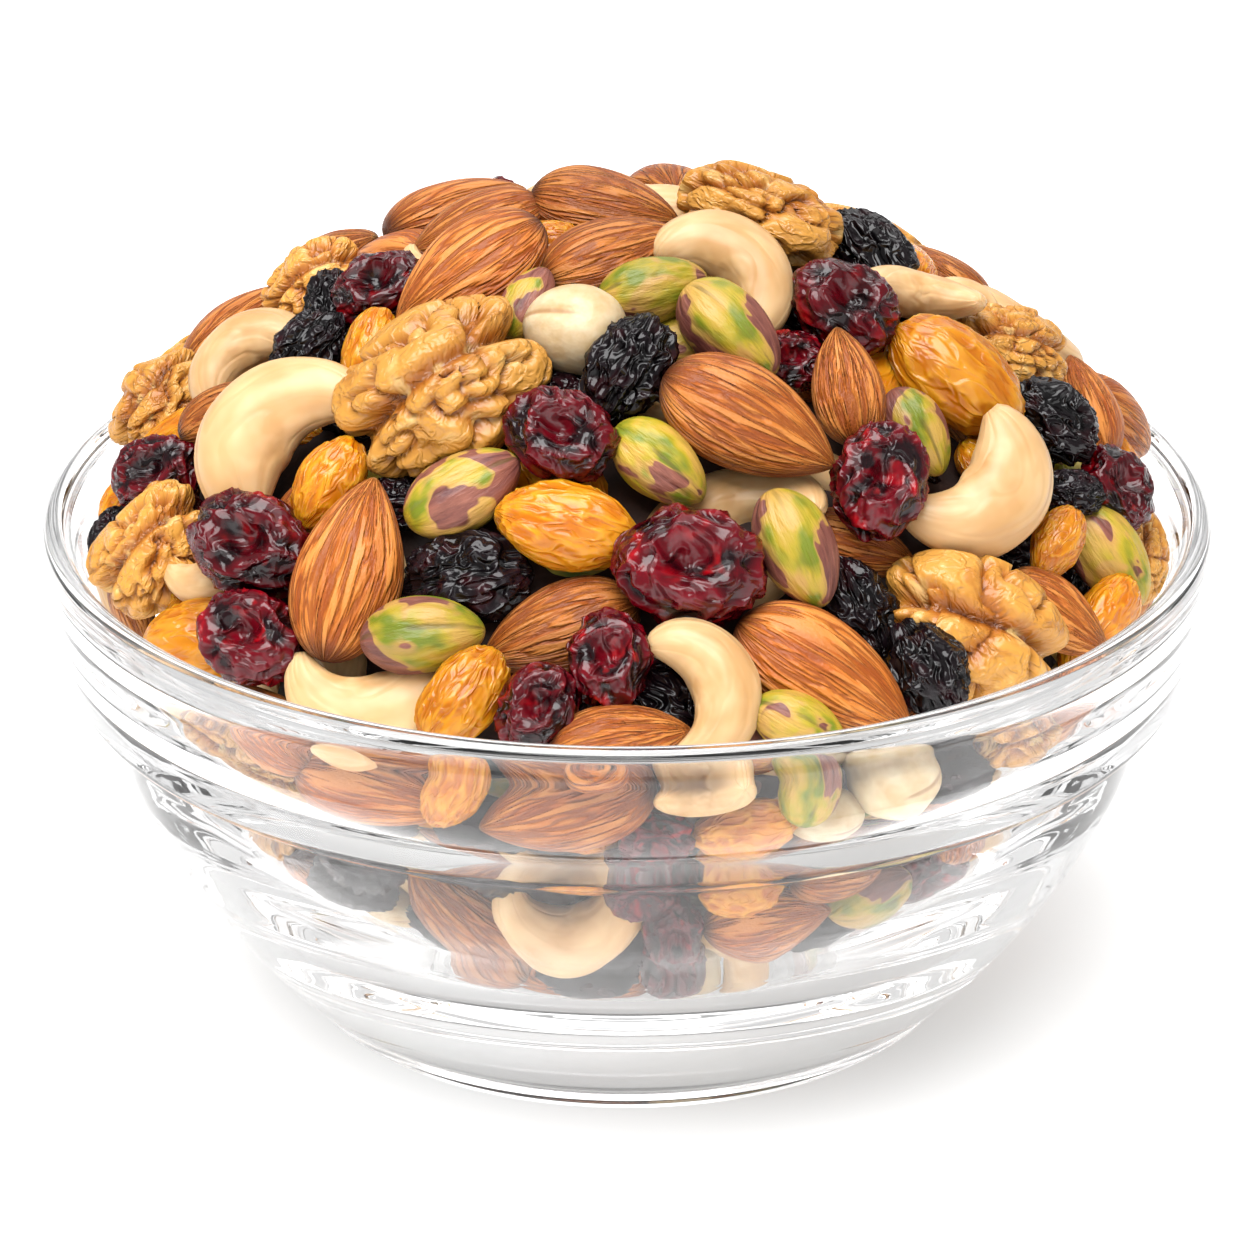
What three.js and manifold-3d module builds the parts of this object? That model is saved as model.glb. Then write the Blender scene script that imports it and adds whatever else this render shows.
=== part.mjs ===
// A glass bowl heaped with dried fruit and nuts. Millimetres, +Z up, origin under the middle of the foot.
// The bowl is one turned solid. The heap is one solid too: a plain core with the pieces that show fused on.
import * as THREE from "three";
import { mergeVertices } from "three/addons/utils/BufferGeometryUtils.js";
import Module from "manifold-3d";

// ---- Bowl ----
const BOWL_HEIGHT = 74;
const RIM_RADIUS = 85; // widest, round the bead
const FOOT_RADIUS = 47;
const FOOT_RECESS = 1; // the underside is raised inside a standing ring
const RING_WIDTH = 7;
const LEDGE_HEIGHT = 51; // the band stands proud of the wall above this step
const LEDGE_RADIUS = 81.8;
const BOWL_SIDES = 40;

// ---- Heap ----
const FILL_HEIGHT = 72; // where the heap meets the wall
const HEAP_RISE = 47.5; // from there to the top
const HEAP_RADIUS = 81;
const FULLNESS = 0.85; // the smaller, the steeper the heap's edge
const FRONT_FALL = 0.7; // how much steeper it is at the front
const CORE_DEPTH = 6; // the core's surface lies this far below the tops of the pieces
const CORE_ROUGHNESS = 1.5; // the core's top is uneven by this much
const CORE_BITE = 1.2; // the least that a piece reaches into the core
const CORE_SIDES = 18;
const GLASS_GAP = 0.3;
const PIECE_GAP = 0.5; // kept between a piece and the glass while pieces are placed
const WALL_LEAN = 0.9; // a level distance to the wall times this is the distance square to it

// ---- View that the places of the front pieces are read in, in pixels of the photograph ----
const VIEW_ELEVATION = THREE.MathUtils.degToRad(24.3);
const VIEW_DISTANCE = 1200;
const VIEW_AIM_HEIGHT = 54.6;
const PIXELS_PER_MM = 6.85;
const VIEW_CENTRE = 627;

// Each kind's width and thickness as shares of its length, and its mesh: sides round, steps along.
const KINDS = {
  almond: { wide: 0.58, thick: 0.4, sides: 6, steps: 4 },
  cashew: { wide: 0.66, thick: 0.38, sides: 5, steps: 5 },
  walnut: { wide: 0.82, thick: 0.55, sides: 6, steps: 4 },
  pistachio: { wide: 0.62, thick: 0.56, sides: 5, steps: 4 },
  cranberry: { wide: 0.8, thick: 0.55, sides: 5, steps: 4 },
  raisin: { wide: 0.74, thick: 0.56, sides: 5, steps: 4 },
  sultana: { wide: 0.63, thick: 0.5, sides: 5, steps: 4 },
  hazelnut: { wide: 0.86, thick: 0.84, sides: 5, steps: 4 },
};

// The pieces that show from the front: kind, x and y of its middle in the photograph, the direction of its
// long axis there in degrees (0 right, 90 up), its length, how far it is lifted out of the heap, and its
// roll about the long axis in degrees.
const SEEN = [
  // top of the heap
  ["almond", 606, 195, -10, 22, 1, 0],
  ["almond", 484, 218, 200, 20, 0, 0],
  ["almond", 470, 276, 215, 25.5, 2, 0],
  ["almond", 602, 254, 20, 21, 1, 0],
  ["walnut", 760, 226, -20, 25, 0, -40],
  ["raisin", 850, 240, -45, 16, 0, 0],
  ["cashew", 733, 284, 135, 23, 0, 0],
  ["pistachio", 663, 287, 12, 16, 3, 0],
  ["pistachio", 733, 342, -45, 18, 3, 0],
  ["hazelnut", 583, 325, 170, 15, 1, 0],
  ["pistachio", 515, 308, 60, 12, 0, 0],
  ["raisin", 630, 370, 60, 17, 2, 0],
  ["raisin", 562, 382, 0, 13, -3, 0],
  ["cranberry", 835, 302, -30, 17, 2, 0],
  ["cashew", 912, 294, 170, 19, 0, 60],
  ["cashew", 978, 290, 200, 13, -1, 0],
  ["cranberry", 795, 352, 0, 12, -3, 0],
  ["almond", 848, 388, 100, 18, 0, 0],
  ["sultana", 945, 375, -40, 23, 2, 0],
  ["walnut", 1008, 348, -10, 18, 0, 0],
  ["raisin", 1052, 422, -30, 15.5, 1, 0],
  ["almond", 1100, 405, 110, 17, 0, 0],
  ["almond", 742, 420, -28, 27, 2, 0],
  ["pistachio", 932, 447, -60, 14, 1, 0],
  ["cranberry", 868, 480, 80, 18, 3, 0],
  ["cashew", 982, 494, 45, 25, 3, 0],
  ["cranberry", 1115, 490, -60, 13.5, 0, 0],
  ["raisin", 1075, 495, 0, 10, -1, 0],
  ["sultana", 1060, 543, 60, 12, 0, 0],
  ["pistachio", 1115, 568, -55, 17, 0, 0],
  ["walnut", 1162, 548, 90, 15, -1, 0],
  ["cashew", 712, 502, 200, 27, 1, 50],
  ["pistachio", 660, 461, -40, 16, 0, 0],
  ["pistachio", 796, 554, -65, 18, 3, 0],
  ["cranberry", 566, 440, -30, 17, 2, 0],
  ["walnut", 455, 392, 35, 30, 3, 0],
  ["sultana", 573, 526, -12, 20.5, 1, 0],
  ["pistachio", 465, 494, 30, 18, 1, 0],
  ["cranberry", 695, 581, -12, 22, 3, 0],
  ["raisin", 470, 569, 8, 19, 1, 0],
  ["almond", 353, 567, 75, 27, 2, 0],
  ["almond", 553, 618, 200, 23, -1, 0],
  ["pistachio", 418, 638, 5, 17.5, 1, 0],
  ["cashew", 367, 692, 0, 24, 1, 0],
  ["sultana", 468, 698, 55, 17, 1, 0],
  ["cranberry", 545, 712, 60, 14, 1, 0],
  ["cranberry", 603, 672, 100, 15, 1, 0],
  ["almond", 615, 745, 10, 20, -1, 0],
  ["cashew", 702, 692, 100, 22, 2, 0],
  ["almond", 832, 673, -32, 28, 2, 0],
  ["pistachio", 790, 718, -25, 14, 2, 0],
  ["raisin", 868, 612, -60, 16, -1, 0],
  ["almond", 880, 555, -15, 18, -3, 0],
  ["walnut", 1004, 628, -20, 28, 3, 0],
  ["almond", 1076, 620, -35, 18, -1, 0],
  ["cashew", 275, 440, 225, 28, 2, 0],
  ["cashew", 253, 334, 205, 20, 0, 0],
  ["raisin", 301, 346, 50, 14, 2, 0],
  ["sultana", 368, 354, 70, 13, 0, 0],
  ["cranberry", 395, 282, 20, 14.5, 0, 0],
  ["raisin", 343, 293, 80, 12, -1, 0],
  ["walnut", 318, 290, 30, 17, -2, 0],
  ["almond", 212, 403, 30, 15, 0, 0],
  ["walnut", 162, 402, 50, 18, -1, 0],
  ["cranberry", 157, 471, 0, 14.5, 1, 0],
  ["sultana", 112, 497, 60, 9, -1, 0],
  ["raisin", 107, 534, 60, 10, 0, 0],
  ["walnut", 148, 552, 45, 20, 4, 0],
  ["cashew", 200, 572, 20, 13, -2, 0],
  ["sultana", 196, 621, 8, 19, 1, 0],
  ["cranberry", 246, 660, -10, 17, 0, 0],
  ["cranberry", 255, 547, -20, 19, 2, 0],
  ["sultana", 335, 487, 60, 15, 0, 0],
  ["almond", 292, 475, 60, 14, -3, 0],
  ["raisin", 403, 490, 0, 11, -3, 0],
  ["sultana", 548, 224, 0, 10, -2, 0],
  ["cashew", 434, 247, 0, 12, -2, 0],
  // against the glass, in the band
  ["almond", 370, 792, -15, 24, 0, 0],
  ["sultana", 457, 792, 60, 13, 0, 0],
  ["raisin", 466, 828, 0, 11, 0, 0],
  ["almond", 573, 818, 195, 25, 0, 0],
  ["cashew", 704, 797, 8, 14, 0, 60],
  ["cranberry", 660, 843, 0, 11, 0, 0],
  ["sultana", 744, 833, 15, 15, 0, 0],
  ["pistachio", 806, 785, 70, 13, 0, 0],
  ["hazelnut", 830, 820, 0, 11, 0, 0],
  ["hazelnut", 897, 792, 20, 13, 0, 0],
  ["raisin", 965, 785, 20, 13, 0, 0],
  ["walnut", 270, 775, -20, 13, 0, 0],
  ["walnut", 204, 742, -40, 13, 0, 0],
  ["walnut", 1010, 745, 20, 14, 0, 0],
  ["almond", 1070, 725, 30, 17, 0, 0],
  // against the glass, below the band
  ["raisin", 342, 891, -10, 14, 0, 0],
  ["almond", 460, 937, 135, 24, 0, 0],
  ["cashew", 572, 922, 0, 21, 0, 0],
  ["raisin", 437, 965, -40, 18, 0, 0],
  ["raisin", 590, 968, 0, 17, 0, 0],
  ["almond", 568, 1006, 178, 22, 0, 0],
  ["cranberry", 675, 930, 90, 11, 0, 0],
  ["cranberry", 672, 983, 80, 12, 1, 0],
  ["cashew", 745, 978, 120, 16, 0, 0],
  ["almond", 765, 918, 10, 18, 0, 0],
  ["sultana", 742, 888, 10, 12, -1, 0],
  ["pistachio", 872, 896, 30, 13, 0, 0],
  ["raisin", 830, 946, 15, 13.5, 0, 0],
  ["cranberry", 945, 882, 30, 14, 0, 0],
  ["almond", 900, 940, 45, 17, 0, 0],
  ["pistachio", 820, 984, 10, 13, 0, 0],
  ["hazelnut", 697, 1010, 0, 11, 0, 0],
  ["hazelnut", 362, 942, 0, 12, 0, 0],
];

// The rest of the heap's surface is filled by a seeded rule: first the large pieces, then smaller ones.
// Each round tries so many spots on the dome and on the wall, with pieces of these kinds and lengths.
const FILL_SEED = 2;
const LARGE_KINDS = ["almond", "walnut", "cashew", "almond", "cashew"];
const SMALLER_KINDS = ["cranberry", "pistachio", "raisin", "sultana", "almond"];
const FILL_ROUNDS = [
  { dome: 150, wall: 45, kinds: LARGE_KINDS, shortest: 20, longest: 26 },
  { dome: 400, wall: 60, kinds: SMALLER_KINDS, shortest: 15, longest: 19 },
];
const WALL_LOWEST = 12; // heights between which spots are tried on the wall
const WALL_HIGHEST = FILL_HEIGHT - 5;
const DOME_MARGIN = 4; // and none this near the edge of the dome
const CLOSEST_SHARE = 0.66; // how near two pieces may be placed, as a share of their mean radii together

// Pieces that overlap are then pushed apart, a little at a time.
const SETTLE_STEPS = 30;
const SPRING = 0.06; // the share of its way home that a piece goes back in one step
const YIELD_LOW = 0.3; // of an overlap, what the deeper piece gives way by in one step
const YIELD_HIGH = 0.1;
const YIELD_ACROSS = 0.3; // of that, what a piece read from the photograph moves across the line of sight
const TOWARDS_VIEW = 0.7; // how far such a piece leans from the heap's surface towards the eye

const SMALL_LENGTH = 17; // shorter pieces have one ring fewer
const HIDDEN_ON_DOME = 3.2; // pieces whose tops lie deeper than this are left out
const HIDDEN_ON_WALL = 0.7;
const FLAT_SIDES = 1.1; // makes up for what few sides cut off a round piece

// ---- Solids ----
const wasm = await Module();
wasm.setup();

function mergedOf(geometry) {
  geometry.deleteAttribute("normal");
  geometry.deleteAttribute("uv");
  return mergeVertices(geometry, 1e-4);
}

function solidOf(geometry) {
  const merged = mergedOf(geometry);
  return new wasm.Manifold(
    new wasm.Mesh({
      numProp: 3,
      vertProperties: merged.attributes.position.array,
      triVerts: new Uint32Array(merged.index.array),
    }),
  );
}

function geometryOf(solid) {
  const mesh = solid.getMesh();
  return new THREE.BufferGeometry()
    .setAttribute("position", new THREE.BufferAttribute(mesh.vertProperties, 3))
    .setIndex(new THREE.BufferAttribute(mesh.triVerts, 1));
}

// A profile of [radius, height] pairs, listed upwards on the outside, turned about the vertical axis.
function turned(profile, sides = BOWL_SIDES) {
  const points = profile.map(([radius, height]) => new THREE.Vector2(radius, height));
  return new THREE.LatheGeometry(points, sides).rotateX(Math.PI / 2);
}

// ---- Bowl ----
const CAVITY = [
  [0, 6.5],
  [34, 6.5],
  [40, 8.8],
  [49.5, 16.5],
  [59.5, 27],
  [66.5, 38],
  [72, 50],
  [76.5, 58],
  [79.3, 68],
  [81.3, BOWL_HEIGHT - 0.8],
];

function bowlProfile() {
  const ring = FOOT_RADIUS - RING_WIDTH;
  const under = [
    [0, FOOT_RECESS],
    [ring - 1, FOOT_RECESS],
    [ring, 0],
    [FOOT_RADIUS, 0],
  ];
  const lowerWall = [
    [FOOT_RADIUS + 1.7, 1.4],
    [FOOT_RADIUS + 2.7, 3.6], // first low step over the foot
    [FOOT_RADIUS + 5.6, 5.6],
    [FOOT_RADIUS + 8.4, 8.6], // second low step
    [61.6, 16],
    [68.4, 26],
    [73.3, 36],
    [78, LEDGE_HEIGHT - 1],
  ];
  const band = [
    [LEDGE_RADIUS - 0.9, LEDGE_HEIGHT],
    [LEDGE_RADIUS, LEDGE_HEIGHT + 1.2],
    [RIM_RADIUS - 0.9, BOWL_HEIGHT - 8],
  ];
  const bead = [
    [RIM_RADIUS, BOWL_HEIGHT - 4],
    [RIM_RADIUS - 0.5, BOWL_HEIGHT - 1],
    [RIM_RADIUS - 1.8, BOWL_HEIGHT],
    [RIM_RADIUS - 2.9, BOWL_HEIGHT],
  ];
  return [...under, ...lowerWall, ...band, ...bead, ...CAVITY.toReversed()];
}

// ---- Envelope of the heap ----
function cavityRadius(height) {
  const last = CAVITY.length - 1;
  if (height <= CAVITY[1][1]) return CAVITY[1][0];
  for (let i = 2; i <= last; i++) {
    const [lowRadius, low] = CAVITY[i - 1];
    const [highRadius, high] = CAVITY[i];
    if (height < high) return lowRadius + ((highRadius - lowRadius) * (height - low)) / (high - low);
  }
  return CAVITY[last][0];
}

// The heap is full at its sides and back, and falls away sooner towards the front, which is -Y.
function skinHeight(x, y) {
  const radius = Math.hypot(x, y);
  const share = Math.min(1, radius / HEAP_RADIUS);
  const front = Math.max(0, -y / Math.max(radius, 1)) ** 2;
  return FILL_HEIGHT + HEAP_RISE * (1 - share ** 2.2) ** (FULLNESS + FRONT_FALL * front);
}

// How deep a point lies inside the heap's envelope, negative outside it.
function depthAt(p) {
  const radius = Math.hypot(p.x, p.y);
  const underSkin = skinHeight(p.x, p.y) - p.z;
  const offWall = WALL_LEAN * (cavityRadius(p.z) - PIECE_GAP - radius);
  const offFloor = p.z - CAVITY[0][1] - PIECE_GAP;
  return Math.min(underSkin, offWall, offFloor);
}

function outwardAt(p) {
  const step = 0.5;
  const slope = (axis) => {
    const ahead = p.clone();
    const behind = p.clone();
    ahead[axis] += step;
    behind[axis] -= step;
    return depthAt(behind) - depthAt(ahead);
  };
  return new THREE.Vector3(slope("x"), slope("y"), slope("z")).normalize();
}

// ---- View ----
const toFar = new THREE.Vector3(0, Math.cos(VIEW_ELEVATION), -Math.sin(VIEW_ELEVATION));
const viewUp = new THREE.Vector3(0, Math.sin(VIEW_ELEVATION), Math.cos(VIEW_ELEVATION));
const viewRight = new THREE.Vector3(1, 0, 0);
const eye = new THREE.Vector3(0, 0, VIEW_AIM_HEIGHT).addScaledVector(toFar, -VIEW_DISTANCE);

function rayThrough(x, y) {
  const perPixel = 1 / (PIXELS_PER_MM * VIEW_DISTANCE);
  return toFar
    .clone()
    .addScaledVector(viewRight, (x - VIEW_CENTRE) * perPixel)
    .addScaledVector(viewUp, (VIEW_CENTRE - y) * perPixel)
    .normalize();
}

// Where a ray first enters the envelope, or comes nearest to it.
function firstHit(ray) {
  const reach = 140;
  const step = 0.5;
  let best = null;
  let bestDepth = -Infinity;
  for (let far = VIEW_DISTANCE - reach; far < VIEW_DISTANCE + reach; far += step) {
    const p = eye.clone().addScaledVector(ray, far);
    const depth = depthAt(p);
    if (depth > bestDepth) {
      best = p;
      bestDepth = depth;
    }
    if (depth >= 0) break;
  }
  return best;
}

// ---- Placing ----
function pieceOf(kind, length, middle, along, outward, roll, ray) {
  const { wide, thick } = KINDS[kind];
  const y = along.clone().addScaledVector(outward, -along.dot(outward)).normalize();
  const z = outward.clone().applyAxisAngle(y, THREE.MathUtils.degToRad(roll));
  const x = new THREE.Vector3().crossVectors(y, z);
  const half = [(length * wide) / 2, length / 2, (length * thick) / 2];
  return { kind, half, middle, home: middle.clone(), axes: [x, y, z], outward: outward.clone(), ray };
}

function seenPiece([kind, px, py, turn, length, lift, roll]) {
  const ray = rayThrough(px, py);
  const hit = firstHit(ray);
  const towards = ray.clone().negate();
  const outward = outwardAt(hit).addScaledVector(towards, TOWARDS_VIEW).normalize();
  const angle = THREE.MathUtils.degToRad(turn);
  const along = viewRight.clone().multiplyScalar(Math.cos(angle)).addScaledVector(viewUp, Math.sin(angle));
  along.addScaledVector(ray, -along.dot(outward) / ray.dot(outward)); // lie in the surface, same picture
  const sink = (length * KINDS[kind].thick) / 2 - lift;
  const leastFacing = 0.5;
  const middle = hit.addScaledVector(ray, sink / Math.max(leastFacing, outward.dot(towards)));
  return pieceOf(kind, length, middle, along, outward, roll, ray);
}

// Draws numbers from 0 to 1 by a linear congruential rule, the same ones each time.
function random(seed) {
  const multiplier = 1664525;
  const increment = 1013904223;
  let state = seed;
  return () => {
    state = (Math.imul(state, multiplier) + increment) >>> 0;
    return state / 2 ** 32;
  };
}

const GOLDEN_ANGLE = Math.PI * (3 - Math.sqrt(5));

// Spots spread evenly over the dome, on a golden-angle spiral.
function domeSpots(count, shift) {
  return Array.from({ length: count }, (_, i) => {
    const out = (HEAP_RADIUS - DOME_MARGIN) * Math.sqrt((i + 0.5) / count);
    const x = out * Math.cos(i * GOLDEN_ANGLE + shift);
    const y = out * Math.sin(i * GOLDEN_ANGLE + shift);
    return new THREE.Vector3(x, y, skinHeight(x, y));
  });
}

// The same round the wall, from near the floor up to the edge of the heap.
function wallSpots(count, shift) {
  return Array.from({ length: count }, (_, i) => {
    const height = WALL_LOWEST + (WALL_HIGHEST - WALL_LOWEST) * Math.sqrt((i + 0.5) / count);
    const out = cavityRadius(height) - PIECE_GAP;
    const angle = i * GOLDEN_ANGLE + shift;
    return new THREE.Vector3(out * Math.cos(angle), out * Math.sin(angle), height);
  });
}

const meanRadius = (piece) => (piece.half[0] + piece.half[1]) / 2;

function addFilling(pieces) {
  const draw = random(FILL_SEED);
  FILL_ROUNDS.forEach(({ dome, wall, kinds, shortest, longest }, round) => {
    for (const spot of [...domeSpots(dome, round), ...wallSpots(wall, round)]) {
      const kind = kinds[Math.floor(draw() * kinds.length)];
      const length = shortest + (longest - shortest) * draw();
      const turn = 2 * Math.PI * draw();
      const outward = outwardAt(spot);
      const nearlyLevel = 0.01; // keeps it a direction where outward is straight up
      const level = new THREE.Vector3(-outward.y, outward.x, nearlyLevel).normalize();
      const along = level.applyAxisAngle(outward, turn);
      const middle = spot.addScaledVector(outward, -(length * KINDS[kind].thick) / 2);
      const piece = pieceOf(kind, length, middle, along, outward, 0, null);
      const free = (other) =>
        other.middle.distanceTo(middle) > CLOSEST_SHARE * (meanRadius(other) + meanRadius(piece));
      if (pieces.every(free)) pieces.push(piece);
    }
  });
}

// A piece's half-size as an ellipsoid in one direction: between its extent and its surface there.
function halfAlong(piece, direction) {
  let extent = 0;
  let inverse = 0;
  piece.axes.forEach((axis, i) => {
    const cosine = axis.dot(direction);
    extent += (piece.half[i] * cosine) ** 2;
    inverse += (cosine / piece.half[i]) ** 2;
  });
  return (Math.sqrt(extent) + 1 / Math.sqrt(inverse)) / 2;
}

// Pushes overlapping pieces apart. Those read from the photograph move mostly along their line of sight.
function settle(pieces) {
  for (let step = 0; step < SETTLE_STEPS; step++) {
    const pushes = pieces.map((piece) => piece.home.clone().sub(piece.middle).multiplyScalar(SPRING));
    for (let i = 0; i < pieces.length; i++)
      for (let j = 0; j < i; j++) {
        const apart = pieces[j].middle.clone().sub(pieces[i].middle);
        const distance = apart.length();
        if (distance > pieces[i].half[1] + pieces[j].half[1]) continue;
        apart.divideScalar(distance);
        const overlap = halfAlong(pieces[i], apart) + halfAlong(pieces[j], apart) - distance;
        if (overlap <= 0) continue;
        const iHigher = depthAt(pieces[i].middle) < depthAt(pieces[j].middle);
        pushes[i].addScaledVector(apart, -overlap * (iHigher ? YIELD_HIGH : YIELD_LOW));
        pushes[j].addScaledVector(apart, overlap * (iHigher ? YIELD_LOW : YIELD_HIGH));
      }
    pieces.forEach((piece, i) => {
      const push = pushes[i];
      if (piece.ray) {
        const inSight = push.dot(piece.ray);
        push.multiplyScalar(YIELD_ACROSS).addScaledVector(piece.ray, (1 - YIELD_ACROSS) * inSight);
      }
      piece.middle.add(push);
      keepSeated(piece);
      keepOffWall(piece);
    });
  }
}

// Moves a piece in until it bites into the core, which stands for the pieces under it.
function keepSeated(piece) {
  const lack = CORE_DEPTH + CORE_BITE - halfAlong(piece, piece.outward) - depthAt(piece.middle);
  if (lack > 0) piece.middle.addScaledVector(piece.outward, -lack);
}

// Keeps a piece inside the bowl, unless it lies clear above the rim, and off the bowl's floor.
function keepOffWall(piece) {
  const { middle } = piece;
  const clearHeight = BOWL_HEIGHT + 4;
  const fall = -0.5; // the wall faces down by about this much for each step outwards
  const level = new THREE.Vector3(middle.x, middle.y, 0).normalize();
  const slope = new THREE.Vector3(level.x, level.y, fall).normalize();
  const room = cavityRadius(Math.min(middle.z, FILL_HEIGHT)) - PIECE_GAP;
  const reach = halfAlong(piece, slope) / WALL_LEAN;
  const excess = Math.hypot(middle.x, middle.y) - (room - reach);
  if (excess > 0 && middle.z < clearHeight) middle.addScaledVector(level, -excess);
  const lowest = CAVITY[0][1] + PIECE_GAP + halfAlong(piece, new THREE.Vector3(0, 0, 1));
  middle.z = Math.max(middle.z, lowest);
}

function placedPieces() {
  const pieces = SEEN.map(seenPiece);
  addFilling(pieces);
  settle(pieces);
  return pieces;
}

// Whether a piece comes near enough to the heap's surface to be seen.
function shows(piece) {
  const hidden = piece.middle.z > FILL_HEIGHT - CORE_DEPTH ? HIDDEN_ON_DOME : HIDDEN_ON_WALL;
  return depthAt(piece.middle) - halfAlong(piece, piece.outward) < hidden;
}

// ---- Shapes of the pieces, from a unit sphere whose poles are on Y, the long axis ----
const SHAPES = {
  almond: (p) => p.multiply(new THREE.Vector3(taper(p, 0.24), 1, taper(p, 0.24))),
  pistachio: (p) => p.multiply(new THREE.Vector3(taper(p, 0.14), 1, taper(p, 0.1))),
  hazelnut: (p) => p.multiply(new THREE.Vector3(taper(p, 0.1), 1, taper(p, 0.1))),
  sultana: (p) => p.multiplyScalar(1 - 0.04 * girth(p) * Math.cos(3 * spin(p))),
  raisin: (p) => p.multiplyScalar(1 - 0.07 * girth(p) * Math.cos(4 * spin(p))),
  cranberry: dimpled,
  walnut: lobed,
  cashew: curled,
};

const taper = (p, share) => 1 - share * p.y - 0.5 * share * p.y * p.y;
const spin = (p) => Math.atan2(p.z, p.x);
const girth = (p) => Math.hypot(p.x, p.z);

function dimpled(p) {
  const depth = 0.4;
  const narrowness = 5;
  const dip = depth * Math.exp(-narrowness * (p.x * p.x + p.y * p.y));
  if (p.z > 0) p.z *= 1 - dip;
  return p;
}

function lobed(p) {
  const aroundLobes = 0.13 * girth(p) * Math.cos(4 * spin(p));
  const alongLobes = 0.1 * Math.cos(7 * p.y);
  return p.multiplyScalar(1 + aroundLobes + alongLobes);
}

// Bends the sphere's long axis into an arc that bulges towards +X, thicker at one end.
function curled(p) {
  const halfArc = THREE.MathUtils.degToRad(82);
  const arcRadius = 0.63;
  const tubeRadius = 0.36;
  const bluntness = 0.6; // below 1, the ends are blunter than the sphere's
  const swelling = 0.14;
  const bulge = 1.7; // brings the arc to the full width, and shift to the middle of it
  const shift = 0.78;
  const latitude = Math.asin(THREE.MathUtils.clamp(p.y, -1, 1));
  const round = Math.max(1e-6, Math.cos(latitude));
  const full = round ** bluntness * (1 + swelling * p.y);
  const along = (latitude / (Math.PI / 2)) * halfArc;
  const out = arcRadius + (tubeRadius * full * p.x) / round;
  return p.set(out * Math.cos(along) * bulge - shift, out * Math.sin(along), (p.z / round) * full);
}

function pieceSolid({ kind, half, middle, axes }) {
  const { sides, steps } = KINDS[kind];
  const rings = 2 * half[1] < SMALL_LENGTH ? steps - 1 : steps;
  const geometry = mergedOf(new THREE.SphereGeometry(1, sides, rings));
  const position = geometry.attributes.position;
  const p = new THREE.Vector3();
  for (let i = 0; i < position.count; i++) {
    SHAPES[kind](p.fromBufferAttribute(position, i));
    position.setXYZ(i, p.x, p.y, p.z);
  }
  geometry.scale(half[0] * FLAT_SIDES, half[1], half[2] * FLAT_SIDES);
  geometry.applyMatrix4(new THREE.Matrix4().makeBasis(...axes).setPosition(middle));
  return solidOf(geometry);
}

// ---- Heap ----
function coreProfile() {
  const floor = CAVITY[0][1] + GLASS_GAP;
  const wall = [
    [30, floor],
    [50, 24],
    [65, 48],
    [72.5, 64],
  ];
  const dome = [67, 56, 42, 26, 0].map((radius) => [radius, skinHeight(radius, 0) - CORE_DEPTH]);
  return [[0, floor], ...wall, ...dome];
}

function coreSolid() {
  const draw = random(FILL_SEED);
  const geometry = mergedOf(turned(coreProfile(), CORE_SIDES));
  const position = geometry.attributes.position;
  for (let i = 0; i < position.count; i++) {
    if (position.getZ(i) < FILL_HEIGHT - CORE_DEPTH) continue;
    const skin = skinHeight(position.getX(i), position.getY(i));
    position.setZ(i, skin - CORE_DEPTH + CORE_ROUGHNESS * (2 * draw() - 1));
  }
  return solidOf(geometry);
}

// The room in the bowl, a gap smaller than the glass all round, and open space above it.
function roomSolid() {
  const spaceAbove = 200;
  const room = CAVITY.map(([radius, height], i) => [
    Math.max(0, radius - (i === 0 ? 0 : GLASS_GAP)),
    height + (i < 2 ? GLASS_GAP : 0),
  ]);
  return solidOf(turned([...room, [room.at(-1)[0], spaceAbove], [0, spaceAbove]]));
}

function heapSolid() {
  const pieces = placedPieces().filter(shows).map(pieceSolid);
  return largestShell(wasm.Manifold.union([coreSolid(), ...pieces]).intersect(roomSolid()));
}

// The heap's outer surface alone: without loose scraps, and with the hollows that joining sealed filled in.
function largestShell(solid) {
  return solid.decompose().reduce((a, b) => (b.volume() > a.volume() ? b : a));
}

// ---- Materials ----
const glass = new THREE.MeshStandardMaterial({
  color: 0xe8eef0,
  roughness: 0.03,
  metalness: 0,
  transparent: true,
  opacity: 0.3,
});
const nuts = new THREE.MeshStandardMaterial({ color: 0xb06a34, roughness: 0.6, metalness: 0 });

function named(name, geometry, material) {
  geometry.computeVertexNormals();
  const mesh = new THREE.Mesh(geometry, material);
  mesh.name = name;
  return mesh;
}

const group = new THREE.Group();
group.add(named("glass_bowl", turned(bowlProfile()), glass));
group.add(named("mixed_nuts", geometryOf(heapSolid()), nuts));

export default group;
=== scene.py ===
"""A clear glass bowl heaped with dried fruit and nuts.

The heap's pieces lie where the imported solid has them, by the same rule, and each kind is one mesh. Places and
sizes are in millimetres until a mesh is made. Blender's objects are in metres, +Z up, and -Y is the front.
"""
import itertools
import math

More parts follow.
